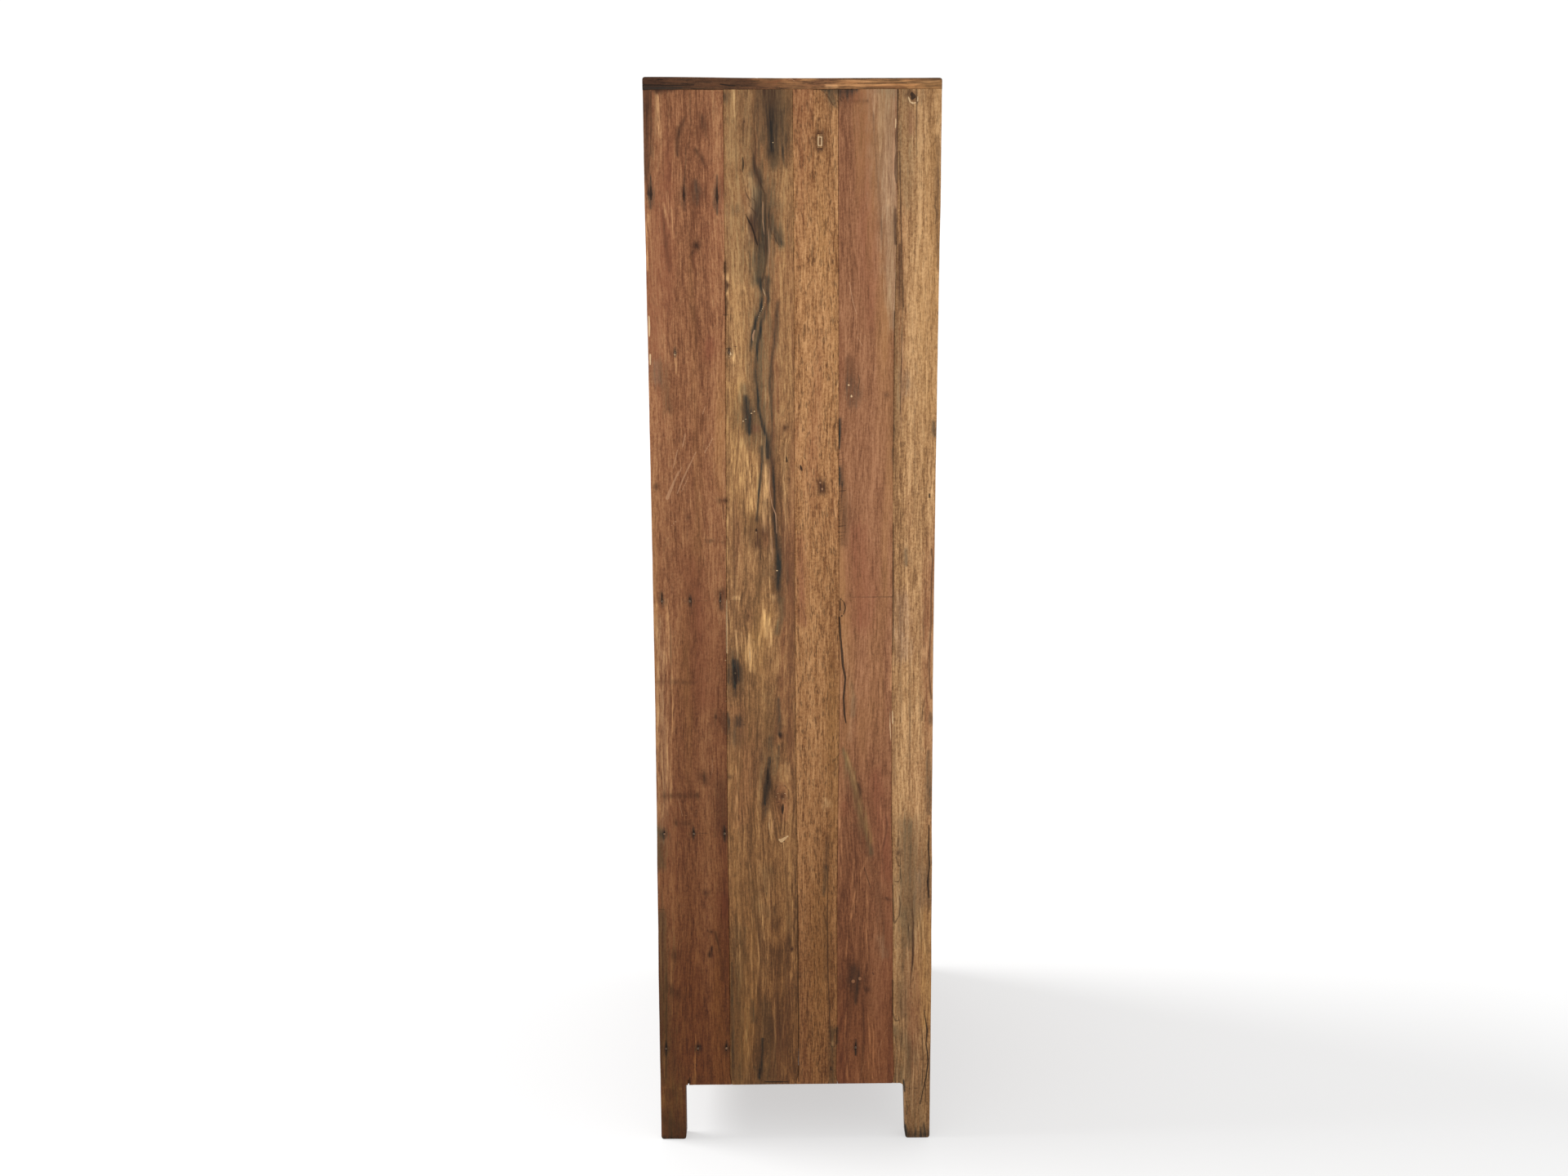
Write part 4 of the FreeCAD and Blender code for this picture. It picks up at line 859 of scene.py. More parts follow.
        "ring hole and dark corner": ("umber", 0.7, [(1086, 483.5, 2.8)], [(1084, 1099, 1.2),
            (1089, 1102, 1.8)], [(1062, 1212, 2.6)]),
        "chisel marks below": ("stain", 0.75, [(1028, 574, 3), (1028, 592, 3)]),
        "rosy below the comb": ("rose", 0.5, [(1050, 650, 8), (1055, 700, 12), (1056, 760, 10)]),
        "spot over the line": ("umber", 0.55, [(1041, 729, 2.5)]),
        "long crack and the chip over it": ("crack", 1, [(1028, 732, 0.7), (1033, 737, 0.6),
            (1035.5, 744, 0.6), (1032.5, 753, 0.7), (1028, 756, 1.2)], [(1029, 736, 0.6),
            (1028.5, 748, 0.8)], [(1028, 756, 1), (1029, 780, 1.1), (1031, 800, 1.5), (1032, 814, 1.5),
            (1035, 830, 1.3), (1033, 854, 1.3), (1034, 875, 1.2), (1036, 886, 0.6)]),
        "grey by the crack": ("ash", 0.1, [(1033, 770, 3), (1035, 800, 3), (1040, 840, 3), (1043, 880, 3),
            (1041, 905, 3)]),
        "green line": ("line", 0.6, [(1037, 776, 0.5), (1038, 808, 0.8), (1043, 831, 0.8), (1047, 850, 1.2),
            (1048, 868, 1.2), (1045, 888, 0.6)]),
        "crust's pale": ("straw", 0.2, [(1042, 845, 1.5), (1043, 853, 1.5)]),
        "diagonal band": ("gold", 0.25, [(1036, 922, 2), (1043, 945, 3.5), (1051, 975, 4),
            (1058, 1005, 3.5), (1066, 1030, 3)]),
        "diagonal band's olive": ("olive", 0.75, [(1032, 918, 2), (1042, 945, 4), (1050, 975, 4.5),
            (1058, 1010, 4), (1067, 1045, 3)]),
        "slanting lines": ("line", 0.8, [(1040, 926, 0.3), (1047, 948, 0.6), (1053, 968, 0.9),
            (1060, 1000, 0.5), (1064, 1015, 0.3)], [(1064, 1044, 0.3), (1070, 1068, 0.6), (1075, 1087, 0.6),
            (1079.5, 1114, 0.6), (1084, 1148, 0.8), (1085.5, 1171, 0.4)]),
        "pale edge of the band": ("straw", 0.25, [(1038, 928, 0.8), (1047, 958, 0.9), (1056, 998, 0.7)]),
        "dark end of the band": ("umber", 0.8, [(1051, 960, 2), (1054, 969, 3.5)]),
        "pale eye": ("rose", 0.4, [(1035, 985, 4), (1036, 995, 4)]),
        "long shadow": ("umber", 0.28, [(1046, 1010, 2), (1053, 1030, 2.5), (1063, 1048, 3),
            (1070, 1070, 3), (1075, 1090, 3), (1080, 1120, 3), (1084, 1150, 3), (1086, 1172, 2)]),
        "grey at the shadow's end": ("ash", 0.4, [(1078, 1150, 4), (1082, 1170, 3)]),
        "stain of nails and seam": ("stain", 0.6, [(1046, 1186, 5), (1046, 1200, 8), (1047, 1215, 4),
            (1048, 1228, 1.5)], [(1025.5, 1258, 1.2), (1025, 1277, 1.2)]),
        "pale threads": ("straw", 0.35, [(1040, 1130, 0.6), (1050, 1080, 1), (1062, 1050, 0.8)],
            [(1034, 1190, 0.6), (1040, 1130, 1), (1050, 1100, 0.6)], [(1062, 1240, 0.6), (1066, 1280, 1.1),
            (1062, 1322, 0.7)]),
        "second low thread": ("straw", 0.3, [(1036, 1240, 0.6), (1034, 1280, 1.1), (1038, 1322, 0.7)]),
        "dark thread": ("umber", 0.4, [(1056, 1225, 0.6), (1058, 1270, 1.2), (1054, 1322, 0.8)]),
        "shade below": ("shade", 0.12, [(1045, 1180, 14), (1050, 1230, 16)]),
    },
    5: {
        "grey field and strip": ("olive", 0.3, [(1109, 108, 9), (1110, 200, 8), (1111, 250, 5)],
            [(1099, 390, 3.5), (1099, 460, 3.5), (1098, 530, 3)]),
        "black cracks": ("crack", 1, [(1116.5, 115, 2), (1119, 118, 2.6), (1117, 120, 2)],
            [(1138.2, 605, 0.9), (1138.2, 609, 1)], [(1137.6, 1010, 0.5), (1137, 1040, 0.9),
            (1138.3, 1060, 0.8), (1136, 1080, 1.1), (1137.5, 1100, 0.8)], [(1131.5, 1236, 0.5),
            (1135.4, 1262, 0.9), (1134, 1277, 0.8), (1136.8, 1299, 1), (1134.4, 1318, 0.8),
            (1130, 1336, 0.6), (1127, 1352, 0.7)]),
        "knot hole's cloud": ("umber", 0.75, [(1115, 114, 4), (1120, 120, 4.5)]),
        "bright edges": ("glint", 1, [(1112.5, 119, 0.7), (1114.5, 124.5, 1), (1119, 127, 1),
            (1123.5, 123.5, 0.8), (1124, 118, 0.5)], [(1097, 145, 0.5), (1096.6, 156, 0.7)],
            [(1092.5, 870, 0.5), (1093, 886, 0.8)]),
        "lines of the upper seam": ("line", 1, [(1122.3, 108, 0.8), (1122.3, 140, 0.7), (1122, 192, 0.4)],
            [(1099.4, 108, 0.8), (1099.2, 150, 0.7)], [(1098.6, 152, 0.7), (1098, 162, 1.5),
            (1097.4, 174, 1.4), (1098, 184, 0.8)], [(1098, 184, 0.8), (1097.4, 196, 1.9), (1097, 212, 2),
            (1098, 224, 0.8)], [(1101.5, 185, 0.7), (1102.5, 224, 0.8), (1104.5, 330, 0.9),
            (1106, 376, 0.9)], [(1105.5, 360, 0.6), (1104, 428, 0.6), (1102.4, 505, 0.6)],
            [(1094.5, 640, 0.5), (1093.5, 700, 0.8), (1094, 760, 0.8), (1093.5, 800, 0.6)]),
        "rosy under the knot": ("rose", 0.35, [(1116, 140, 5), (1116, 160, 4)]),
        "dark by the groove": ("stain", 0.2, [(1100, 156, 3), (1100, 222, 3.5)]),
        "groove's depth": ("dent", 0.5, [(1098, 160, 1.2), (1097.5, 222, 1.5)]),
        "pale seam edges": ("scratch", 1, [(1095.6, 170, 0.6), (1094.2, 182, 0.8), (1094, 204, 0.9),
            (1095, 226, 0.6)], [(1107, 378, 0.3), (1105.5, 428, 0.5), (1104, 500, 0.4),
            (1103.3, 532, 0.2)]),
        "lower chips": ("umber", 0.7, [(1096.5, 256, 1.5), (1096.5, 275, 2.4), (1097, 298, 1.8)]),
        "edge band": ("umber", 0.6, [(1101, 300, 2.5), (1102, 345, 4), (1103, 376, 3.5)]),
        "dark rear arris": ("umber", 0.45, [(1149, 168, 1.5), (1148, 220, 2.6), (1148, 275, 2.4),
            (1149, 330, 1.2)]),
        "cracks of the rear edge": ("line", 1, [(1146, 240, 0.5), (1145, 252, 0.9), (1147, 262, 0.7),
            (1145.5, 275, 0.6)], [(1140.7, 672, 0.7), (1142, 688, 0.9), (1140.7, 711, 0.9),
            (1140, 749, 0.9), (1140.4, 764, 1.1), (1138.8, 782, 1), (1137.6, 818, 1), (1139, 841, 1.2),
            (1140.4, 856, 0.7)], [(1132, 856, 0.5), (1129.5, 870, 0.7), (1129, 883, 0.7)],
            [(1138, 1278, 0.6), (1138.4, 1308, 0.8), (1136.5, 1325, 0.5)], [(1129, 1262, 0.5),
            (1130.5, 1300, 0.7), (1129, 1330, 0.6)]),
        "dark patches low down": ("umber", 0.35, [(1095.5, 382, 1.2), (1095, 450, 1.6), (1094.5, 520, 1.6),
            (1094.5, 560, 2)], [(1100, 1205, 4), (1101, 1225, 5), (1105, 1244, 3)]),
        "lower seam line": ("line", 0.3, [(1095, 385, 0.3), (1094.6, 470, 0.4), (1094, 560, 0.4)]),
        "grey smudge": ("ash", 0.25, [(1110, 460, 5), (1111, 480, 5)]),
        "grey smudge's dark": ("stain", 0.25, [(1110, 470, 5)]),
        "dark at the rear edge": ("stain", 0.85, [(1144, 517, 1.6), (1144, 526, 2.6), (1145, 534, 1.4)]),
        "knots of the seam": ("stain", 0.4, [(1094, 522, 1), (1094.5, 530, 2), (1094.5, 540, 1)]),
        "seam streak": ("stain", 0.35, [(1094, 550, 1.6), (1095, 566, 2), (1095, 576, 1)]),
        "pale over the pinhole": ("straw", 0.8, [(1139.5, 602, 2)]),
        "grey streak": ("stain", 0.42, [(1109.5, 674, 2.5), (1109.5, 690, 3.6)]),
        "rust of the crack": ("rose", 0.25, [(1141, 690, 2), (1140, 750, 2), (1138, 800, 2.4),
            (1139, 845, 2)]),
        "lilac field": ("ash", 0.45, [(1105, 734, 7), (1105, 800, 7)]),
        "pale flakes of the edge": ("straw", 0.65, [(1139, 775, 1.6), (1133, 800, 3), (1138, 812, 1)]),
        "soft dark edges": ("stain", 0.5, [(1140, 874, 2), (1140, 885, 2.2)], [(1137, 920, 1.5),
            (1137, 950, 3.2), (1138, 975, 3.6), (1137, 996, 2)]),
        "pale splinter": ("glint", 0.8, [(1090, 868, 0.5), (1089.8, 887, 1.2), (1091, 905, 1),
            (1091.3, 914, 0.5)]),
        "pale stub": ("straw", 0.3, [(1092.5, 806, 1.4), (1090.5, 826, 1.2), (1090, 845, 1.2)]),
        "dark by the splinters": ("umber", 0.25, [(1094.5, 850, 1.4), (1095, 900, 1.4),
            (1095.5, 960, 1.6)]),
        "outlines by the lower seam": ("line", 1, [(1100, 1016, 0.6), (1099.5, 1036, 1)],
            [(1097.6, 1049, 0.7), (1100, 1061, 0.8), (1102.6, 1060, 0.7), (1102.4, 1046, 0.7)],
            [(1096, 1080, 0.5), (1100, 1080, 0.7), (1102.6, 1075, 0.7), (1102.4, 1063, 0.5)],
            [(1093.2, 1083, 0.6), (1093.6, 1105, 0.7), (1094, 1126, 0.9), (1095.6, 1130.5, 0.9),
            (1100.9, 1122, 0.8), (1102.4, 1108, 0.8), (1101, 1096, 0.5)], [(1092.6, 1200, 0.7),
            (1093, 1240, 0.8), (1096, 1250, 0.8), (1100.5, 1250, 0.7), (1101, 1240, 0.4)]),
        "outlined knot": ("umber", 0.85, [(1099.7, 1044.5, 3.2)]),
        "pale fan and outline": ("straw", 0.4, [(1098, 1088, 3), (1098, 1115, 3)], [(1122, 1140, 3),
            (1122, 1165, 2)]),
        "rear rough": ("umber", 0.5, [(1137.5, 1012, 1.2), (1137, 1050, 1.6), (1136, 1090, 3),
            (1137, 1115, 1.5)]),
        "lilac by the edge": ("ash", 0.2, [(1126, 1070, 6), (1127, 1110, 6)]),
        "brown upper field": ("olive", 0.7, [(1112, 1010, 10), (1116, 1060, 14), (1114, 1110, 14),
            (1112, 1150, 10)]),
        "umber upper field": ("umber", 0.1, [(1112, 1030, 10), (1116, 1070, 14), (1114, 1110, 14)]),
        "grey field below": ("olive", 0.2, [(1108, 1105, 8), (1108, 1180, 10), (1104, 1245, 9)]),
        "dark patches": ("umber", 0.3, [(1105, 1150, 2.5), (1107, 1172, 4), (1104, 1190, 2)]),
        "golden lower edge": ("gold", 0.5, [(1133, 1115, 6), (1132, 1180, 8), (1133, 1250, 8)]),
        "pale tongue": ("straw", 0.7, [(1134.7, 1277, 1.8), (1134.7, 1287, 1.5)]),
        "brown field": ("olive", 0.6, [(1098, 1262, 8), (1115, 1290, 9), (1105, 1318, 9)]),
        "lines on the foot": ("line", 1, [(1108.6, 1331, 0.6), (1115.6, 1334, 0.6), (1125.6, 1332, 0.5)],
            [(1133.2, 1328, 0.7), (1133.2, 1350, 0.7)], [(1110, 1348, 0.6), (1111, 1358, 0.9),
            (1110, 1366, 0.4)], [(1135, 1350, 0.6), (1139, 1347, 0.6)]),
        "dark notch corner": ("stain", 0.9, [(1106.5, 1323, 1.3), (1107.5, 1336, 1.4)]),
        "dull foot": ("olive", 0.35, [(1122, 1334, 14), (1122, 1380, 14)]),
        "blackened end and spikes": ("stain", 0.8, [(1106, 1390, 9), (1122, 1391, 8), (1138, 1389, 9)],
            [(1131, 1376, 1), (1132, 1385, 2)]),
        "blackened corner": ("stain", 0.95, [(1108, 1377, 1.2), (1108, 1384, 2)]),
    },
}

# Knots by board: the middle and the radius in pixels
KNOTS = {
    2: {"small knot": (911, 149, 2.4), "middle knot": (956, 901, 3.0),
        "eyed knot": (957.6, 975, 5), "little knot": (916.3, 754.4, 2.6), "low dark knot": (961, 524, 3.4)},
    3: {"leaning knot": (981.5, 573, 1.6)},
}

# Rows of short ticks beside a seam or an edge, one at each step of the rows
TICKS = {
    "comb beside the third seam": dict(kind="line", x=(1027, 1035), rows=(563, 668, 3.9), half=0.7,
                                       slant=1.4),
    "splinters of the first seam": dict(kind="glint", x=(887.8, 890), rows=(808, 862, 5), half=0.5,
                                        slant=-1.0),
    "saw ticks": dict(kind="line", x=(1027, 1033), rows=(515, 562, 5), half=0.55, slant=1.2),
    "chatter low on the fourth board": dict(kind="scratch", x=(1028, 1039), rows=(1086, 1112, 5), half=0.1,
                                            slant=0.3),
    "chatter below it": dict(kind="scratch", x=(1028, 1046), rows=(1132, 1158, 5), half=0.1, slant=0.3),
    "saw marks at the front edge": dict(kind="line", x=(806, 824), rows=(1030, 1150, 7), half=0.3,
                                        slant=0.5),
    "saw marks under them": dict(kind="line", x=(808, 830), rows=(1178, 1262, 8), half=0.3, slant=0.5),
}

# Between these heights the fourth board of the photographed side has a finer grid, for the ticks of a comb
COMB_LOW, COMB_TOP = on_panel(1030, 669)[1], on_panel(1030, 512)[1]

# Nails with no iron left to see: the middle of each dark drop, its half length and half width in pixels
DROPS = {
    "first of the upper row": (797, 238, 13, 2.2),
    "second of the upper row": (837.4, 239, 14, 1.8),
    "third of the upper row": (878, 241, 15, 2.1),
    "iron in the long stain": (940, 956, 8, 1.2),
    "middle row, first": (810.6, 730, 6, 1.2),
}
FILLED = {"third of the upper row": (878, 240.5), "filled hole of the middle row": (883, 727)}

# The seams between the boards lean a little: their places at rows of the photograph, in pixels
SEAM_ROWS = (110, 250, 400, 560, 850, 1000, 1100, 1250, 1320)
SEAM_LINES = {
    "first": (885.5, 887, 888.5, 889, 889.7, 891, 892.5, 894, 894),
    "second": (970.5, 971.5, 972.5, 973, 974, 975.5, 976.8, 977.8, 978),
    "third": (1026.5, 1026.5, 1027, 1027, 1028, 1026, 1025, 1025, 1023.5),
    "fourth": (1099.5, 1099, 1095.5, 1094, 1092.5, 1092, 1093.5, 1093, 1095),
}

# Rows of short scratches left by a saw: places across and a step, and the rows between which they run
COMBS = {
    "saw comb": dict(x=(813, 853, 3.2), y=(971, 978)),
    "short comb": dict(x=(831, 843, 3.4), y=(1004, 1013)),
    "comb low at the front": dict(x=(819, 829, 3.0), y=(1166, 1174)),
    "comb under it": dict(x=(819, 829, 3.0), y=(1209, 1220)),
}

# Loose streaks along the grain: how far apart across the board, between which rows, and of which two kinds
STREAKS = {
    "second board": dict(board=2, x=(893, 968, 2.6), y=(112, 1040), long=(60, 200),
                         kinds=("umber", "straw"), strength=0.3, half=0.9, sway=1.5),
    "second board, low": dict(board=2, x=(897, 976, 2.6), y=(1030, 1322), long=(110, 260),
                              kinds=("umber", "straw"), strength=0.38, half=0.7, sway=2.5),
    "fourth board, low": dict(board=4, x=(1030, 1090, 4.0), y=(930, 1320), long=(60, 160),
                              kinds=("straw", "umber"), strength=0.25, half=0.8, sway=3.0),
    "fifth board": dict(board=5, x=(1102, 1138, 3.0), y=(112, 1100), long=(80, 240),
                        kinds=("umber", "straw"), strength=0.25, half=0.8, sway=1.0),
    "fifth board, low": dict(board=5, x=(1096, 1136, 2.0), y=(1080, 1385), long=(40, 130),
                             kinds=("umber", "straw"), strength=0.5, half=0.8, sway=1.5),
    "fifth board, cracks": dict(board=5, x=(1108, 1138, 6.0), y=(1150, 1385), long=(25, 80),
                                kinds=("line", "line"), strength=0.9, half=0.3, sway=1.2),
    "first board, front": dict(board=1, x=(801, 824, 2.2), y=(740, 1320), long=(50, 180),
                               kinds=("straw", "umber"), strength=0.35, half=0.9, sway=1.0),
}

# Lines scribed across the side at the shelves, from pixel to pixel, and half widths of what is so thin
SCRIBED_HALF, FILLED_HALF, COMB_HALF = 0.35, 0.7, 0.3
SCRIBED = {
    "upper, front board": [(834, 435.6), (887, 435.6)],
    "upper, third board": [(968, 432.5), (1024, 432)],
    "middle, front board": [(838, 735.6), (866, 735.6)],
    "middle, second board": [(890, 735.3), (909, 735.3)],
    "middle, fourth board": [(1043, 731), (1093, 731)],
    "lower, front board": [(841, 1019.6), (866, 1020.4)],
    "lower, second board": [(914, 1019), (969, 1019)],
    "lower, third board": [(971, 1018.8), (1021, 1018.8)],
}


def panel_path(points):
    """A path of pixels with half widths, in millimetres on the photographed side."""
    return [(*on_panel(x, y), half * PIXEL) for x, y, half in points]


def seam_lean(place, row_place, height):
    """How far a seam at a place along Y leans at heights, after its line in the photograph."""
    lines_there = [on_panel(x, row) for x, row in zip(row_place, SEAM_ROWS)]
    heights, places = [point[1] for point in lines_there], [point[0] for point in lines_there]
    return np.interp(height, heights[::-1], places[::-1]) - place


def paint_streaks(canvas, streaks, dice):
    """Thin streaks of two kinds by turns, each from a row of its own and bent a little."""
    low, high = streaks["y"]
    for count, x in enumerate(np.arange(*streaks["x"])):
        top = dice.uniform(low, high - streaks["long"][0])
        foot = min(top + dice.uniform(*streaks["long"]), high)
        bend, half = dice.normal(0, streaks["sway"], 3), streaks["half"] * dice.uniform(0.6, 1.4)
        path = [(x, top, half * 0.4), (x + bend[0], top + (foot - top) / 3, half),
                (x + bend[1], foot - (foot - top) / 3, half), (x + bend[2], foot, half * 0.4)]
        strength = min(1, streaks["strength"] * dice.uniform(0.6, 1.4))
        canvas.mark(streaks["kinds"][count % 2], strength, panel_path(path))


def paint_side(canvas, number):
    """Everything seen on one board of the photographed side."""
    for home, marks in SIDE_MARKS.items():
        for kind, strength, *paths in marks.values():
            for points in paths:
                if home == number or max(half for _, _, half in points) < NARROW:
                    canvas.mark(kind, strength, panel_path(points))
    for x, y, half in KNOTS.get(number, {}).values():
        canvas.knot(*on_panel(x, y), half * PIXEL)
    for comb in COMBS.values():
        for x in np.arange(*comb["x"]):
            canvas.mark("scratch", 0.9, panel_path([(x, row, COMB_HALF) for row in comb["y"]]))
    dice = np.random.default_rng(SEEDS["ticks"] + number)
    for tick in TICKS.values():
        for row in np.arange(*tick["rows"]):
            (left, right), half = tick["x"], tick["half"] * dice.uniform(0.6, 1.4)
            path = [(left, row + dice.normal(0, 0.5), half),
                    (right + dice.normal(0, 1.5), row - tick["slant"], half * 0.5)]
            canvas.mark(tick["kind"], dice.uniform(0.75, 1), panel_path(path))
    for streaks in STREAKS.values():
        if streaks["board"] == number:
            paint_streaks(canvas, streaks, dice)
    for x, y, long, wide in DROPS.values():
        canvas.nail(*on_panel(x, y), long * PIXEL, wide * PIXEL)
    for x, y in FILLED.values():
        canvas.mark("glint", 1, panel_path([(x, y, FILLED_HALF)]))
    for ends in SCRIBED.values():
        canvas.mark("line", 1, panel_path([(x, y, SCRIBED_HALF) for x, y in ends]))


# What is strewn over a face that the photograph doesn't show: how many on a board as long as this,
# half width, length, strength
STREWN_LONG = 600
WEAR = {
    "umber": (5, (2, 6), (10, 60), 0.5),
    "straw": (4, (1, 2.5), (15, 80), 0.5),
    "gold": (2, (8, 16), (40, 160), 0.5),
    "rose": (2, (8, 16), (40, 160), 0.5),
    "olive": (2, (8, 20), (60, 200), 0.55),
    "stain": (2, (2, 6), (15, 50), 0.7),
    "line": (4, (0.6, 1.2), (30, 140), 1),
    "crack": (2, (0.7, 1.4), (25, 120), 1),
    "scratch": (3, (0.6, 1.2), (8, 30), 1),
}


def paint_worn(canvas, ends, seed):
    """Knots, streaks, cracks and stains between two corners of a board."""
    (low_u, low_v), (high_u, high_v) = ends
    dice = np.random.default_rng(seed)
    share = min(1.0, (high_v - low_v) / STREWN_LONG)

    def spot():
        return (low_u + (high_u - low_u) * dice.uniform(0.06, 0.94),
                low_v + (high_v - low_v) * dice.uniform(0.03, 0.97))

    for _ in range(dice.integers(1, 3)):
        canvas.knot(*spot(), dice.uniform(2.5, 6))
    for kind, (count, half, long, strength) in WEAR.items():
        for _ in range(int(math.ceil(count * share))):
            u, v = spot()
            length, width = dice.uniform(*long), dice.uniform(*half)
            wobble = dice.normal(0, 0.35 if kind == "scratch" else 0.03, 3) * length * 0.5
            canvas.mark(kind, strength, [(u, v - length / 2, width * 0.35),
                                         (u + wobble[0], v - length / 6, width),
                                         (u + wobble[1], v + length / 6, width * 0.9),
                                         (u + wobble[2], v + length / 2, width * 0.3)])


# Planks: across and along run on the plane, the depth in from the outer face
AXES = {"x": 0, "y": 1, "z": 2}

# Cells of the noise in a plank's wear in millimetres, the least and most wear of its arris, and how far
# from an edge its wave is felt
ARRIS_CELL, CHIP_CELL, HOLLOW_CELL, WAVE_CELL = (30, 22), (14, 9), (45, 160), 35
ARRIS_LEAST, ARRIS_MOST = 0.3, 2.6
EDGE_REACH = 6


def arris_depth(u, v, low_u, outline, arris, nose, seed):
    """Depth of a worn arris, chipped in places, and of a round nose on the low edge if there is one."""
    reach = distance_to(u, v, outline)
    chipped = np.clip(layered(u / CHIP_CELL[0], v / CHIP_CELL[1], seed + 5, 2) - 0.45, 0, 1) * 3
    worn = 1 + 0.6 * layered(u / ARRIS_CELL[0], v / ARRIS_CELL[1], seed) + chipped
    radius = arris * np.clip(worn, ARRIS_LEAST, ARRIS_MOST)
    if nose:
        on_nose = u - low_u < nose + 1
        radius = np.where(on_nose, nose, radius)
        reach = np.where(on_nose, np.minimum(u - low_u, reach + nose), reach)
    return round_over(reach, radius)


def edge_wave(u, v, low_u, high_u, bow, seed):
    """How far a board's long edges wave in."""
    near_edge = np.exp(-np.minimum(u - low_u, high_u - u) / EDGE_REACH)
    inward = near_edge * np.where(u - low_u < high_u - u, 1, -1)
    return inward * bow * (0.5 + 0.5 * layered(v / WAVE_CELL, v * 0 + seed, seed + 3))


def make_plank(node, plane, outer, step, seed, layers=5, arris=0.8, nose=None, low_v=None, low_face=None,
               high_face=None, extra=((), ()), keep=None, outline=None, shape=None, paint=None, bow=0.35):
    """A worn board in place of a node. Its faces may be stepped, its outline cut and its places bent."""
    low, high = (np.array(corner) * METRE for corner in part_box(node))
    across, along = AXES[plane[0]], AXES[plane[1]]
    inward = 3 - across - along
    thick = high[inward] - low[inward]
    low_u, high_u, high_v = low[across], high[across], high[along]
    low_v = low[along] if low_v is None else low_v
    us = lines(low_u, high_u, step[0], (*beside(low_u, 1), *beside(high_u, -1), *extra[0]))
    vs = lines(low_v, high_v, step[1], (*beside(low_v, 1), *beside(high_v, -1), *extra[1]))
    mu, mv = np.meshgrid((us[:-1] + us[1:]) / 2, (vs[:-1] + vs[1:]) / 2, indexing="ij")
    cells = keep(mu, mv) if keep else np.ones(mu.shape, bool)
    u, v, share, faces = slab(us, vs, cells, layers)
    canvas = Canvas(u, v, seed)
    ends = (low_u, low_v), (high_u, high_v)
    canvas.on = share < 0.6
    if paint:
        paint(canvas)
    else:
        paint_worn(canvas, ends, seed + SEEDS["face"])
    canvas.on = ~canvas.on
    paint_worn(canvas, ends, seed + SEEDS["inside"])
    whole = [(low_u, low_v), (high_u, low_v), (high_u, high_v), (low_u, high_v)]
    hollow = bow * (0.5 + 0.5 * layered(u / HOLLOW_CELL[0], v / HOLLOW_CELL[1], seed + 9, 2))
    press = arris_depth(u, v, low_u, outline or whole, arris, nose, seed) + hollow + canvas.deep
    start = low_face(u, v) if low_face else 0.0
    stop = high_face(u, v) if high_face else thick
    w = start + press + share * (stop - start - 2 * press)
    u = u + edge_wave(u, v, low_u, high_u, bow, seed)
    if shape:
        u, v = shape(u, v)
    places = np.zeros((len(u), 3))
    places[:, across], places[:, along] = u, v
    places[:, inward] = high[inward] - w if outer > 0 else low[inward] + w
    material = wood(f"{node}_grain", SLOTS[node], plane, seed, (low_u + high_u) / 2 / METRE)
    add_mesh(f"{node}_worn", node, places, faces, material, canvas)


# Nails: their places are read from the frame's own nail nodes, where the points of one head are closer
# together than this
HEAD_APART = 8
HEAD_HALF, HEAD_THICK, NAIL_TURNS = 2.25, 1.2, 12

# Rings of a nail: the share of its head's half width, and the depth from its top or the length up from
# its point
HEAD_RINGS = ((0.02, 0.5), (0.45, 0.57), (0.8, 0.8), (0.95, 1.2), (0.88, HEAD_THICK + 0.8),
              (0.48, HEAD_THICK + 1.0))
POINT_RINGS = ((0.4, 1.5), (0.05, 0.2))
SQUARENESS, HEAD_SHRINK, LEAST_SUNK = 0.55, 0.95, 0.15


def nail_places(node, inward, outer):
    """Middles of the nail heads of a node, on the face that they are driven through."""
    points = np.array([vertex.co for vertex in frame["nodes"][node].data.vertices]) * METRE
    axes = [axis for axis in range(3) if axis != inward]
    extreme = points[:, inward].max() if outer > 0 else points[:, inward].min()
    groups = []
    for head in points[np.abs(points[:, inward] - extreme) < 0.3][:, axes]:
        group = next((group for group in groups if np.hypot(*(group[0] - head)) < HEAD_APART), None)
        if group is None:
            groups.append([head])
        else:
            group.append(head)
    return [tuple((np.min(group, 0) + np.max(group, 0)) / 2) for group in groups]


NAIL_GROUPS = {"right_side_nails": (0, 1), "left_side_nails": (0, -1), "top_nails": (2, 1),
               "back_nails": (1, 1)}
NAIL_PLACES = {node: nail_places(node, *facing) for node, facing in NAIL_GROUPS.items()}


def paint_nails(canvas, node, seed):
    """The stained crater round each nail of a node that falls on the board."""
    dice = np.random.default_rng(seed)
    for u, v in NAIL_PLACES[node]:
        canvas.nail(u, v, dice.uniform(5, 10), dice.uniform(2.0, 2.7))


def iron():
    net = Net("old_iron")
    place = net.add("ShaderNodeTexCoord").outputs["Object"]
    patches = net.noise(place, (700.0, 700.0, 700.0), 3.0, 0.6)
    colour = net.mix(net.span(patches, -0.05, 0.12), linear((74, 62, 52)), linear((132, 96, 66)))
    bump = net.add("ShaderNodeBump", {"Strength": 0.6, "Distance": 0.0003, "Height": patches}).outputs[0]
    surface = net.add("ShaderNodeBsdfPrincipled", {"Base Color": colour, "Normal": bump,
                                                   "Metallic": net.span(patches, 0.1, -0.1, 0.1, 0.8),
                                                   "Roughness": net.span(patches, -0.2, 0.2, 0.4, 0.8)})
    net.add("ShaderNodeOutputMaterial", {0: surface.outputs[0]})
    return net.material


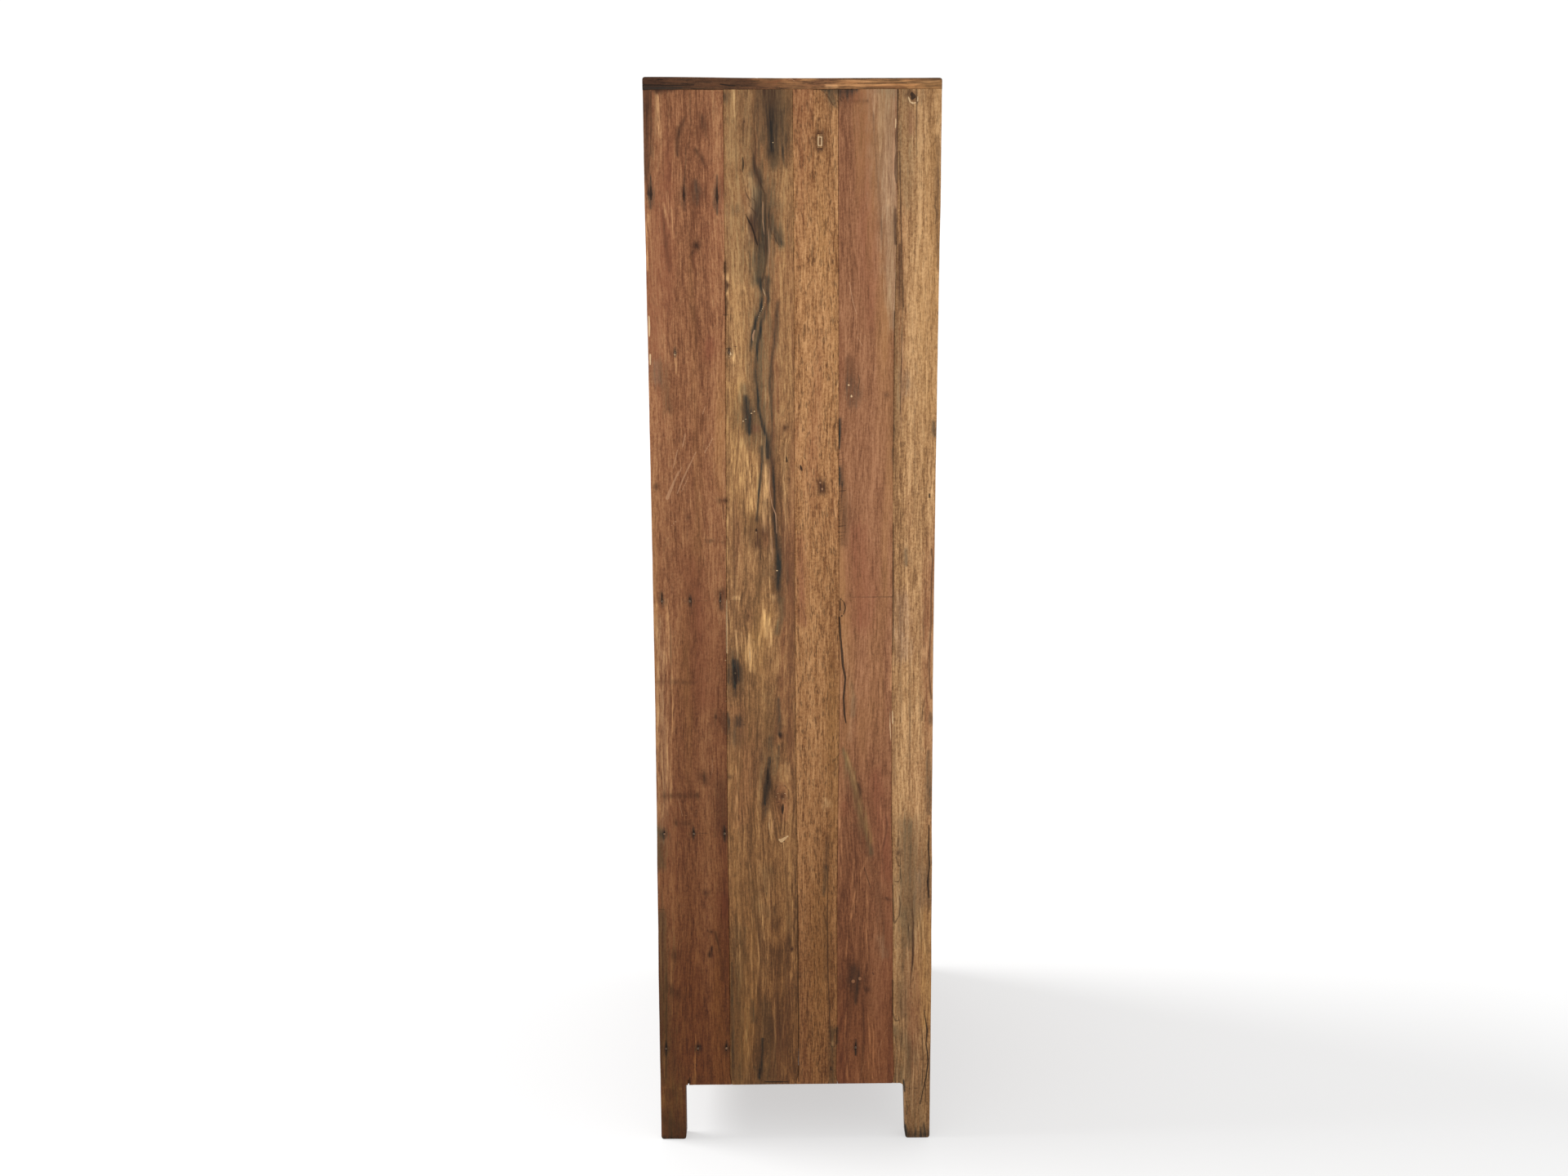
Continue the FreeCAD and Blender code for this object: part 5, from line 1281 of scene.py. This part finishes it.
def nail_faces(base, rings):
    """Faces round the rings of one nail, and over both its ends."""
    faces = []
    for ring in range(rings - 1):
        first, second = base + ring * NAIL_TURNS, base + (ring + 1) * NAIL_TURNS
        for turn in range(NAIL_TURNS):
            after = (turn + 1) % NAIL_TURNS
            faces.append((first + turn, first + after, second + after, second + turn))
    for start in (base, base + (rings - 1) * NAIL_TURNS):
        for turn in range(0, NAIL_TURNS - 2, 2):
            quad = (start, start + turn + 1, start + turn + 2, start + turn + 3)
            faces.append(quad[::-1] if start == base else quad)
    return faces


def nails(node, material):
    """Forged nails: a domed, hammered head on a shank, a little below the wood's face."""
    inward, outer = NAIL_GROUPS[node]
    axes = [axis for axis in range(3) if axis != inward]
    low, high = (np.array(corner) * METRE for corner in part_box(node))
    long = high[inward] - low[inward]
    face = high[inward] if outer > 0 else low[inward]
    angles = (np.arange(NAIL_TURNS) + 0.5) * 2 * math.pi / NAIL_TURNS
    square = 1 / np.maximum(np.abs(np.cos(angles)), np.abs(np.sin(angles))) ** SQUARENESS
    rings = [*HEAD_RINGS, *((share, long - up) for share, up in POINT_RINGS)]
    places, faces = [], []
    for count, (a, b) in enumerate(NAIL_PLACES[node]):
        dice = np.random.default_rng(SEEDS["nails"] + count)
        faces += nail_faces(len(places), len(rings))
        dip = {"top_nails": worn_top(b), "back_nails": worn_back(b, WORN_REAR)}.get(node, 0)
        tilt = dice.normal(0, 0.1, 2)
        for share, depth in rings:
            for angle, stretch in zip(angles, square):
                radius = share * HEAD_HALF * stretch * HEAD_SHRINK
                da, db = radius * math.cos(angle), radius * math.sin(angle)
                hammered = dice.normal(0, 0.04) if depth < 1 else 0
                sunk = depth + tilt[0] * da / 3 + tilt[1] * db / 3 + hammered
                place = [0.0, 0.0, 0.0]
                place[axes[0]], place[axes[1]] = a + da, b + db
                place[inward] = face - outer * max(sunk + dip * (depth < long / 2), LEAST_SUNK)
                places.append(place)
    add_mesh(f"{node}_iron", node, np.array(places), np.array(faces), material)


# Side panels: how far from an edge its lean, rise and waist are felt, how round each board's arris is, and
# the steps of the grid across and along
LEAN_START, RISE_TALL, WAIST_WIDE = 20, 60, 30
SIDE_ARRIS = (1.1, 0.45, 0.45, 0.45, 0.55)
SEEN_STEP, UNSEEN_STEP, COMB_STEP = (1.1, 3.0), (1.7, 4.0), 1.0
LEFT_SEED = 30

# Edges of the feet, whose lower corners are round, and the way in from each
FOOT_CORNERS = {1: ((FRONT_MM, 1), (FOOT_IN, -1)), 5: ((REAR_IN, 1), (REAR_MM, -1))}


def side_keep(number):
    """Which cells of a side board's grid are wood."""

    def keep(u, v):
        front = (v > FOOT_HIGH) | (u < FOOT_IN)
        rear = (v > FOOT_HIGH) | (u > REAR_IN)
        return {1: front, 5: rear}.get(number, v > FOOT_HIGH)

    return keep


def round_corner(u, v, edge, inward):
    """Moves the grid at a foot's lower corner onto a quarter circle."""
    across = (edge + inward * FOOT_ROUND - u) * inward / FOOT_ROUND
    down = (FOOT_ROUND - v) / FOOT_ROUND
    inside = (across > 0) & (down > 0) & (across <= 1.001) & (down <= 1.001)
    new_u = edge + inward * FOOT_ROUND * (1 - across * np.sqrt(np.maximum(1 - down ** 2 / 2, 0)))
    new_v = FOOT_ROUND * (1 - down * np.sqrt(np.maximum(1 - across ** 2 / 2, 0)))
    return np.where(inside, new_u, u), np.where(inside, new_v, v)


def board_lean(number, low_u, high_u, u, v):
    """How far a board's grid leans with the seams on both its edges, above the feet."""
    across = (u - low_u) / (high_u - low_u)
    seams, lean = list(SEAM_LINES.values()), 0
    if number > 1:
        lean = lean + (1 - across) * seam_lean(low_u, seams[number - 2], v)
    if number < 5:
        lean = lean + across * seam_lean(high_u, seams[number - 1], v)
    return lean * np.clip((v - FOOT_HIGH) / LEAN_START, 0, 1)


def notch_drop(u, v):
    """How far the lower edge drops round the corner into the rear foot."""
    over = np.clip(u - REAR_IN + NOTCH_ROUND, 0, NOTCH_ROUND)
    drop = NOTCH_ROUND - np.sqrt(np.maximum(NOTCH_ROUND ** 2 - over ** 2, 0))
    return drop * np.exp(-np.clip(u - REAR_IN, 0, None) / 5) * np.exp(-np.abs(v - FOOT_HIGH) / 12)


def side_shape(side, number, low_u, high_u):
    """Bends a side board's grid: seams, foot corners, the rear notch and taper, and the sloping edge."""

    def shape(u, v):
        lean = board_lean(number, low_u, high_u, u, v) if side == "right" else 0
        for edge, inward in FOOT_CORNERS.get(number, ()):
            u, v = round_corner(u, v, edge, inward)
        drop, taper = 0, 0
        if number == 5:
            drop = notch_drop(u, v)
            foot_share = np.clip((REAR_MM - u) / (REAR_MM - REAR_IN), 0, 1)
            taper = FOOT_TAPER * np.clip(1 - v / FOOT_HIGH, 0, 1) * foot_share
        near_edge = np.clip(1 - np.abs(v - FOOT_HIGH) / RISE_TALL, 0, 1)
        rise = EDGE_RISE * (u - FRONT_MM) / (REAR_MM - FRONT_MM) * near_edge
        waist = (worn_back(v, WORN_FRONT) * np.exp((FRONT_MM - u) / WAIST_WIDE)
                 - worn_back(v, WORN_REAR) * np.exp((u - REAR_MM) / WAIST_WIDE))
        return u + taper + waist + lean, v - drop + rise

    return shape


def side_board(side, number, step):
    node = f"{side}_side_board_{number}"
    low, high = (np.array(corner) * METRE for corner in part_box(node))
    low_u, high_u = low[1], high[1]
    rebate = REAR_MM - BACK_THICK
    top = [(high_u, SIDE_TALL), (low_u, SIDE_TALL)]
    outline = {1: [(low_u, 0), (FOOT_IN, 0), (FOOT_IN, FOOT_HIGH), (high_u, FOOT_HIGH), *top],
               5: [(low_u, FOOT_HIGH), (REAR_IN, FOOT_HIGH), (REAR_IN, 0), (high_u, 0), *top]}
    plain = [(low_u, FOOT_HIGH), (high_u, FOOT_HIGH), *top]
    shape = side_shape(side, number, low_u, high_u)

    def inner_face(u, v):
        in_rebate = (number == 5) & (u > rebate) & (v > FOOT_HIGH - STEP_GAP)
        return np.where(in_rebate, SIDE_THICK - REBATE_WIDE, SIDE_THICK)

    def outer_face(u, v):
        cut = (number == 1) & (u > SLOT_LOW - 0.01) & (u < SLOT_HIGH + 0.01) & (v < SLOT_TALL + 0.01)
        return np.where(cut, SLOT_DEEP, 0.0)

    def paint(canvas):
        canvas.u, canvas.v = shape(canvas.u, canvas.v)
        if side == "right":
            paint_side(canvas, number)
            if number == 3:
                paint_mortise(canvas)
        else:
            paint_worn(canvas, ((low_u, FOOT_HIGH), (high_u, SIDE_TALL)), SEEDS["left_side"] + number)
        # The photographed side shows no nails in its rear board, so there they are filled over
        if (side, number) != ("right", 5):
            paint_nails(canvas, f"{side}_side_nails", SEEDS["side_nails"] + number)

    extra_u = (*beside(FOOT_IN), *beside(REAR_IN), SLOT_LOW - STEP_GAP, SLOT_LOW, SLOT_HIGH,
               SLOT_HIGH + STEP_GAP, rebate, rebate + STEP_GAP, FRONT_MM + FOOT_ROUND,
               FOOT_IN - FOOT_ROUND, REAR_IN + FOOT_ROUND, REAR_MM - FOOT_ROUND, REAR_IN - NOTCH_ROUND)
    extra_v = (FOOT_HIGH - STEP_GAP, *beside(FOOT_HIGH, 1), SLOT_TALL, SLOT_TALL + STEP_GAP, FOOT_ROUND)
    if (side, number) == ("right", 4):
        extra_v += tuple(np.arange(COMB_LOW, COMB_TOP, COMB_STEP))
    outer, seed = (1, number) if side == "right" else (-1, number + LEFT_SEED)
    make_plank(node, "yz", outer, step, seed, layers=6, arris=SIDE_ARRIS[number - 1],
               low_v=0.0 if number in outline else FOOT_HIGH, low_face=outer_face, high_face=inner_face,
               extra=(extra_u, extra_v), keep=side_keep(number), outline=outline.get(number, plain),
               shape=shape, paint=paint)


# How far inside the patch's outline its pale rim lies: at the sides, the foot and the head
RIM_IN, RIM_UP, RIM_DOWN = 1.6, 3.5, 4


def paint_patch(canvas):
    """A pale rim painted round the end of the patch, and brown across its middle."""
    low, high = (np.array(corner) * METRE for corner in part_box("right_side_patch"))
    left, right = low[1] + RIM_IN, high[1] - RIM_IN
    foot, head = low[2] + RIM_UP, high[2] - RIM_DOWN
    rim = [(left, foot), (right, foot), (right, head), (left, head)]
    canvas.mark("umber", 0.6, [(*rim[0], 3), (*rim[2], 3)])
    canvas.mark("glint", 1, [(u, v, 0.6) for u, v in rim + rim[:1]])


def paint_mortise(canvas):
    """The hollow round the patch, pressed in and painted dark: dark old wood and painted shade of the hollow
    together.
    """
    low, high = (np.array(corner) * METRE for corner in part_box("right_side_patch"))
    middle = (low[1] + high[1]) / 2
    path = [(middle, low[2] + 1, 5.5), (middle, high[2] - 1, 5.5)]
    canvas.mark("umber", 0.95, path)
    canvas.mark("pit", 1, path)


# The end cleats are drawn in section and run from front to back, with the groove for the tongues
GROOVE_LOW, GROOVE_HIGH = TONGUE_LOW - 0.1, TONGUE_HIGH + 0.1
CLEAT_ARRIS, CLEAT_HOLLOW, CLEAT_WAVE = 0.9, 0.25, 0.3

# Width of the end and the top of a cleat together, unfolded, over which wear is strewn
CLEAT_STRIP = 78


def cleat(side, sign, seed):
    node = f"top_{side}_cleat"
    low, high = (np.array(corner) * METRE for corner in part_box(node))
    inner, outer = (low[0], high[0]) if sign > 0 else (-high[0], -low[0])
    us = lines(inner, outer, 2.0, (*beside(inner, 1), *beside(outer, -1), inner + TONGUE_LONG))
    zs = lines(0, TOP_THICK, 1.0, (GROOVE_LOW, GROOVE_HIGH, EDGE_LINES[0], TOP_THICK - EDGE_LINES[0]))
    mu, mz = np.meshgrid((us[:-1] + us[1:]) / 2, (zs[:-1] + zs[1:]) / 2, indexing="ij")
    groove = (mu < inner + TONGUE_LONG) & (mz > GROOVE_LOW) & (mz < GROOVE_HIGH)
    runs = lines(low[1], high[1], 1.5, (*beside(low[1], 1), *beside(high[1], -1),
                                        low[1] + CLEAT_ROUND, high[1] - CLEAT_ROUND))
    u, z, share, faces = slab(us, zs, ~groove, len(runs) - 1)
    y = runs[np.round(share * (len(runs) - 1)).astype(int)]
    canvas = Canvas(u - z, y, seed)
    paint_cleat(canvas, outer, side, seed)

    chipped = 3 * np.clip(layered(u / 9, y / 9, seed + 4, 2) - 0.5, 0, 1)
    worn = CLEAT_ARRIS * np.clip(1 + 0.7 * layered(u / 30, y / 18, seed) + chipped, ARRIS_LEAST, 2.5)
    edge = round_over(np.minimum(u - inner, outer - u), worn)
    corner = round_over(np.minimum(y - low[1], high[1] - y), CLEAT_ROUND)
    hollow = CLEAT_HOLLOW * (0.5 + 0.5 * layered(u / 40, y / 90, seed + 2, 2))
    on_top, on_end = z > TOP_THICK - 0.1, u > outer - 0.1
    top = TOP_THICK - worn_top(y) - np.maximum(edge, corner) - hollow - canvas.deep * on_top
    bottom = edge * 0.6
    above = GROOVE_HIGH + (z - GROOVE_HIGH) / (TOP_THICK - GROOVE_HIGH) * (top - GROOVE_HIGH)
    below = bottom + z / GROOVE_LOW * (GROOVE_LOW - bottom)
    z_worn = np.where(z < GROOVE_LOW, below, np.where(z > GROOVE_HIGH, above, z))
    wave = CLEAT_WAVE * (0.5 + 0.5 * layered(y / 30, z / 6, seed + 6, 2))
    dent = np.exp(-(outer - u) / 3) * (wave + canvas.deep * on_end)
    places = np.stack([sign * (u - dent), y, low[2] + z_worn], 1)
    material = wood(f"{node}_grain", "dark_wood", "xy", seed, sign * (inner + outer) / 2 / METRE)
    add_mesh(f"{node}_worn", node, places, faces, material, canvas)


# Marks of the photographed end of the top, in the same form as those of the side
CLEAT_MARKS = {
    "dark end": ("shade", 0.6, [(787, 100, 14), (803, 100, 10)]),
    "grey brown half": ("umber", 0.55, [(800, 100, 12), (880, 100, 12), (950, 100, 8)]),
    "tan half": ("gold", 0.25, [(1030, 100, 6), (1080, 100, 12), (1154, 100, 12)]),
    "reddish middle": ("rose", 0.2, [(940, 100, 9), (1120, 100, 9)]),
    "wavy pale streak": ("straw", 0.3, [(1030, 97, 0.6), (1060, 99.5, 1), (1090, 98, 1), (1125, 101, 1),
        (1150, 99, 0.6)]),
    "wavy pale streak, lower": ("straw", 0.25, [(1010, 103, 0.5), (1050, 105, 0.9), (1080, 103.5, 0.9),
        (1100, 106, 0.6)]),
    # Painted shadow: the dark line along the front part of the end's lower edge stands in for shade where the
    # top meets the side
    "painted shadow along the lower edge, left": ("stain", 0.8, [(787, 108, 2.5), (812, 108, 2.2), (835, 108, 1)]),
    "dark lower edge, right": ("umber", 0.6, [(1062, 107.5, 1.2), (1098, 107.5, 1.5), (1110, 107.5, 0.6)]),
    "splits and a dark fleck": ("crack", 1, [(787, 104, 0.7), (820, 104.6, 0.8), (850, 104, 0.6)],
        [(882, 103, 0.7), (892, 104.6, 0.9), (901, 105, 0.5)], [(805, 97, 0.8), (812, 97, 0.5)]),
    "pale patch": ("straw", 0.8, [(1013, 106, 1.8), (1024, 106, 1.6)]),
    "thin splits": ("line", 1, [(1050, 102, 0.5), (1110, 101.5, 0.6)], [(840, 99, 0.5), (930, 98.5, 0.5)]),
}


def paint_cleat(canvas, outer, side, seed):
    """Marks of the end of the top, unfolded round its upper arris."""
    if side == "right":
        for kind, strength, *paths in CLEAT_MARKS.values():
            for points in paths:
                path = [(outer - (height - SIDE_TALL), along, half)
                        for along, height, half in panel_path(points)]
                canvas.mark(kind, strength, path)
    paint_worn(canvas, ((outer - CLEAT_STRIP, FRONT_MM), (outer, REAR_MM)), seed)
    for x, y in NAIL_PLACES["top_nails"]:
        if (x > 0) == (side == "right"):
            canvas.nail(abs(x) - TOP_THICK, y, 6, 2.3)


for number in range(1, 6):
    side_board("right", number, SEEN_STEP)
    side_board("left", number, UNSEEN_STEP)


# Back boards, half lapped: the rear lip lies on the left edge and the front lip on the right
def back_board(number):
    node = f"back_board_{number}"
    low, high = (np.array(corner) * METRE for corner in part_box(node))
    left_lap = low[0] + BACK_LAP if number > 1 else low[0] - 1
    right_lap = high[0] - BACK_LAP if number < 7 else high[0] + 1

    def rear_face(u, v):
        return np.where(u > right_lap, BACK_THICK / 2, worn_back(v, WORN_REAR))

    def front_face(u, v):
        return np.where(u < left_lap, BACK_THICK / 2, BACK_THICK)

    def paint(canvas):
        paint_worn(canvas, ((low[0], low[2]), (high[0], high[2])), SEEDS["back"] + number)
        paint_nails(canvas, "back_nails", SEEDS["back_nails"] + number)

    make_plank(node, "xz", 1, (2.2, 5.0), 50 + number, layers=4, arris=0.7,
               low_face=rear_face, high_face=front_face,
               extra=((left_lap - STEP_GAP, left_lap, right_lap, right_lap + STEP_GAP), ()), paint=paint)


# The tongues of the top's planks are this much shorter than the grooves are deep
TONGUE_SLACK = 0.2


def top_plank(number):
    node = f"top_plank_{number}"
    low, high = (np.array(corner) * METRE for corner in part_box(node))
    left, right = low[0] + TONGUE_LONG - TONGUE_SLACK, high[0] - TONGUE_LONG + TONGUE_SLACK

    def upper_face(u, v):
        return np.where((v < left) | (v > right), TOP_THICK - TONGUE_HIGH, worn_top(u))

    def lower_face(u, v):
        return np.where((v < left) | (v > right), TOP_THICK - TONGUE_LOW, TOP_THICK)

    make_plank(node, "yx", 1, (2.5, 4.0), 110 + number, layers=4, low_face=upper_face, high_face=lower_face,
               extra=((), (left - STEP_GAP, left, right, right + STEP_GAP)))


for number in range(1, 8):
    back_board(number)
for place, shelf in enumerate(("bottom", "lower", "middle", "upper")):
    for number in range(1, 4):
        make_plank(f"{shelf}_shelf_plank_{number}", "yx", 1, (2.5, 4.0), 70 + place * 4 + number, layers=6,
                   nose=2.6 if number == 1 else None, arris=0.7)
make_plank("front_apron", "zx", -1, (2.0, 4.0), 95, layers=6, arris=1.2)
make_plank("back_rail", "zx", 1, (3.0, 5.0), 96, layers=5)
for number in range(1, 4):
    top_plank(number)
cleat("left", -1, 121)
cleat("right", 1, 122)
make_plank("right_side_patch", "yz", 1, (0.9, 1.2), 140, layers=4, arris=0.9, bow=0.5, paint=paint_patch)
iron_material = iron()
for node in NAIL_GROUPS:
    nails(node, iron_material)


# Floor, world and lights
FLOOR_HALF, FLOOR_GREY, FLOOR_GLOW = 60.0, 0.3, 0.55
WORLD_STRENGTH, SUN_STRENGTH, SUN_SOFT = 1.08, 3.0, math.radians(25)
LIGHT_ALONG = Vector((0.19, 1.0, -1.0))


def make_floor():
    mesh = bpy.data.meshes.new("floor")
    corners = [(x * FLOOR_HALF, y * FLOOR_HALF, 0) for x, y in ((-1, -1), (1, -1), (1, 1), (-1, 1))]
    mesh.from_pydata(corners, [], [(0, 1, 2, 3)])
    net = Net("pale_floor")
    surface = net.add("ShaderNodeBsdfPrincipled", {"Base Color": (FLOOR_GREY, FLOOR_GREY, FLOOR_GREY, 1),
                                                   "Roughness": 0.9, "Specular IOR Level": 0.0,
                                                   "Emission Color": (1, 1, 1, 1),
                                                   "Emission Strength": FLOOR_GLOW})
    net.add("ShaderNodeOutputMaterial", {0: surface.outputs[0]})
    mesh.materials.append(net.material)
    floor = bpy.data.objects.new("floor", mesh)
    bpy.context.scene.collection.objects.link(floor)


def make_light():
    world = bpy.data.worlds.new("studio")
    bpy.context.scene.world = world
    world.use_nodes = True
    background = world.node_tree.nodes["Background"]
    background.inputs["Color"].default_value = (1, 1, 1, 1)
    background.inputs["Strength"].default_value = WORLD_STRENGTH
    data = bpy.data.lights.new("key", "SUN")
    data.energy = SUN_STRENGTH
    data.angle = SUN_SOFT
    sun = bpy.data.objects.new("key", data)
    sun.rotation_euler = LIGHT_ALONG.to_track_quat("-Z", "Y").to_euler()
    bpy.context.scene.collection.objects.link(sun)


make_floor()
make_light()
make_camera()
bpy.context.scene.view_settings.view_transform = "Standard"
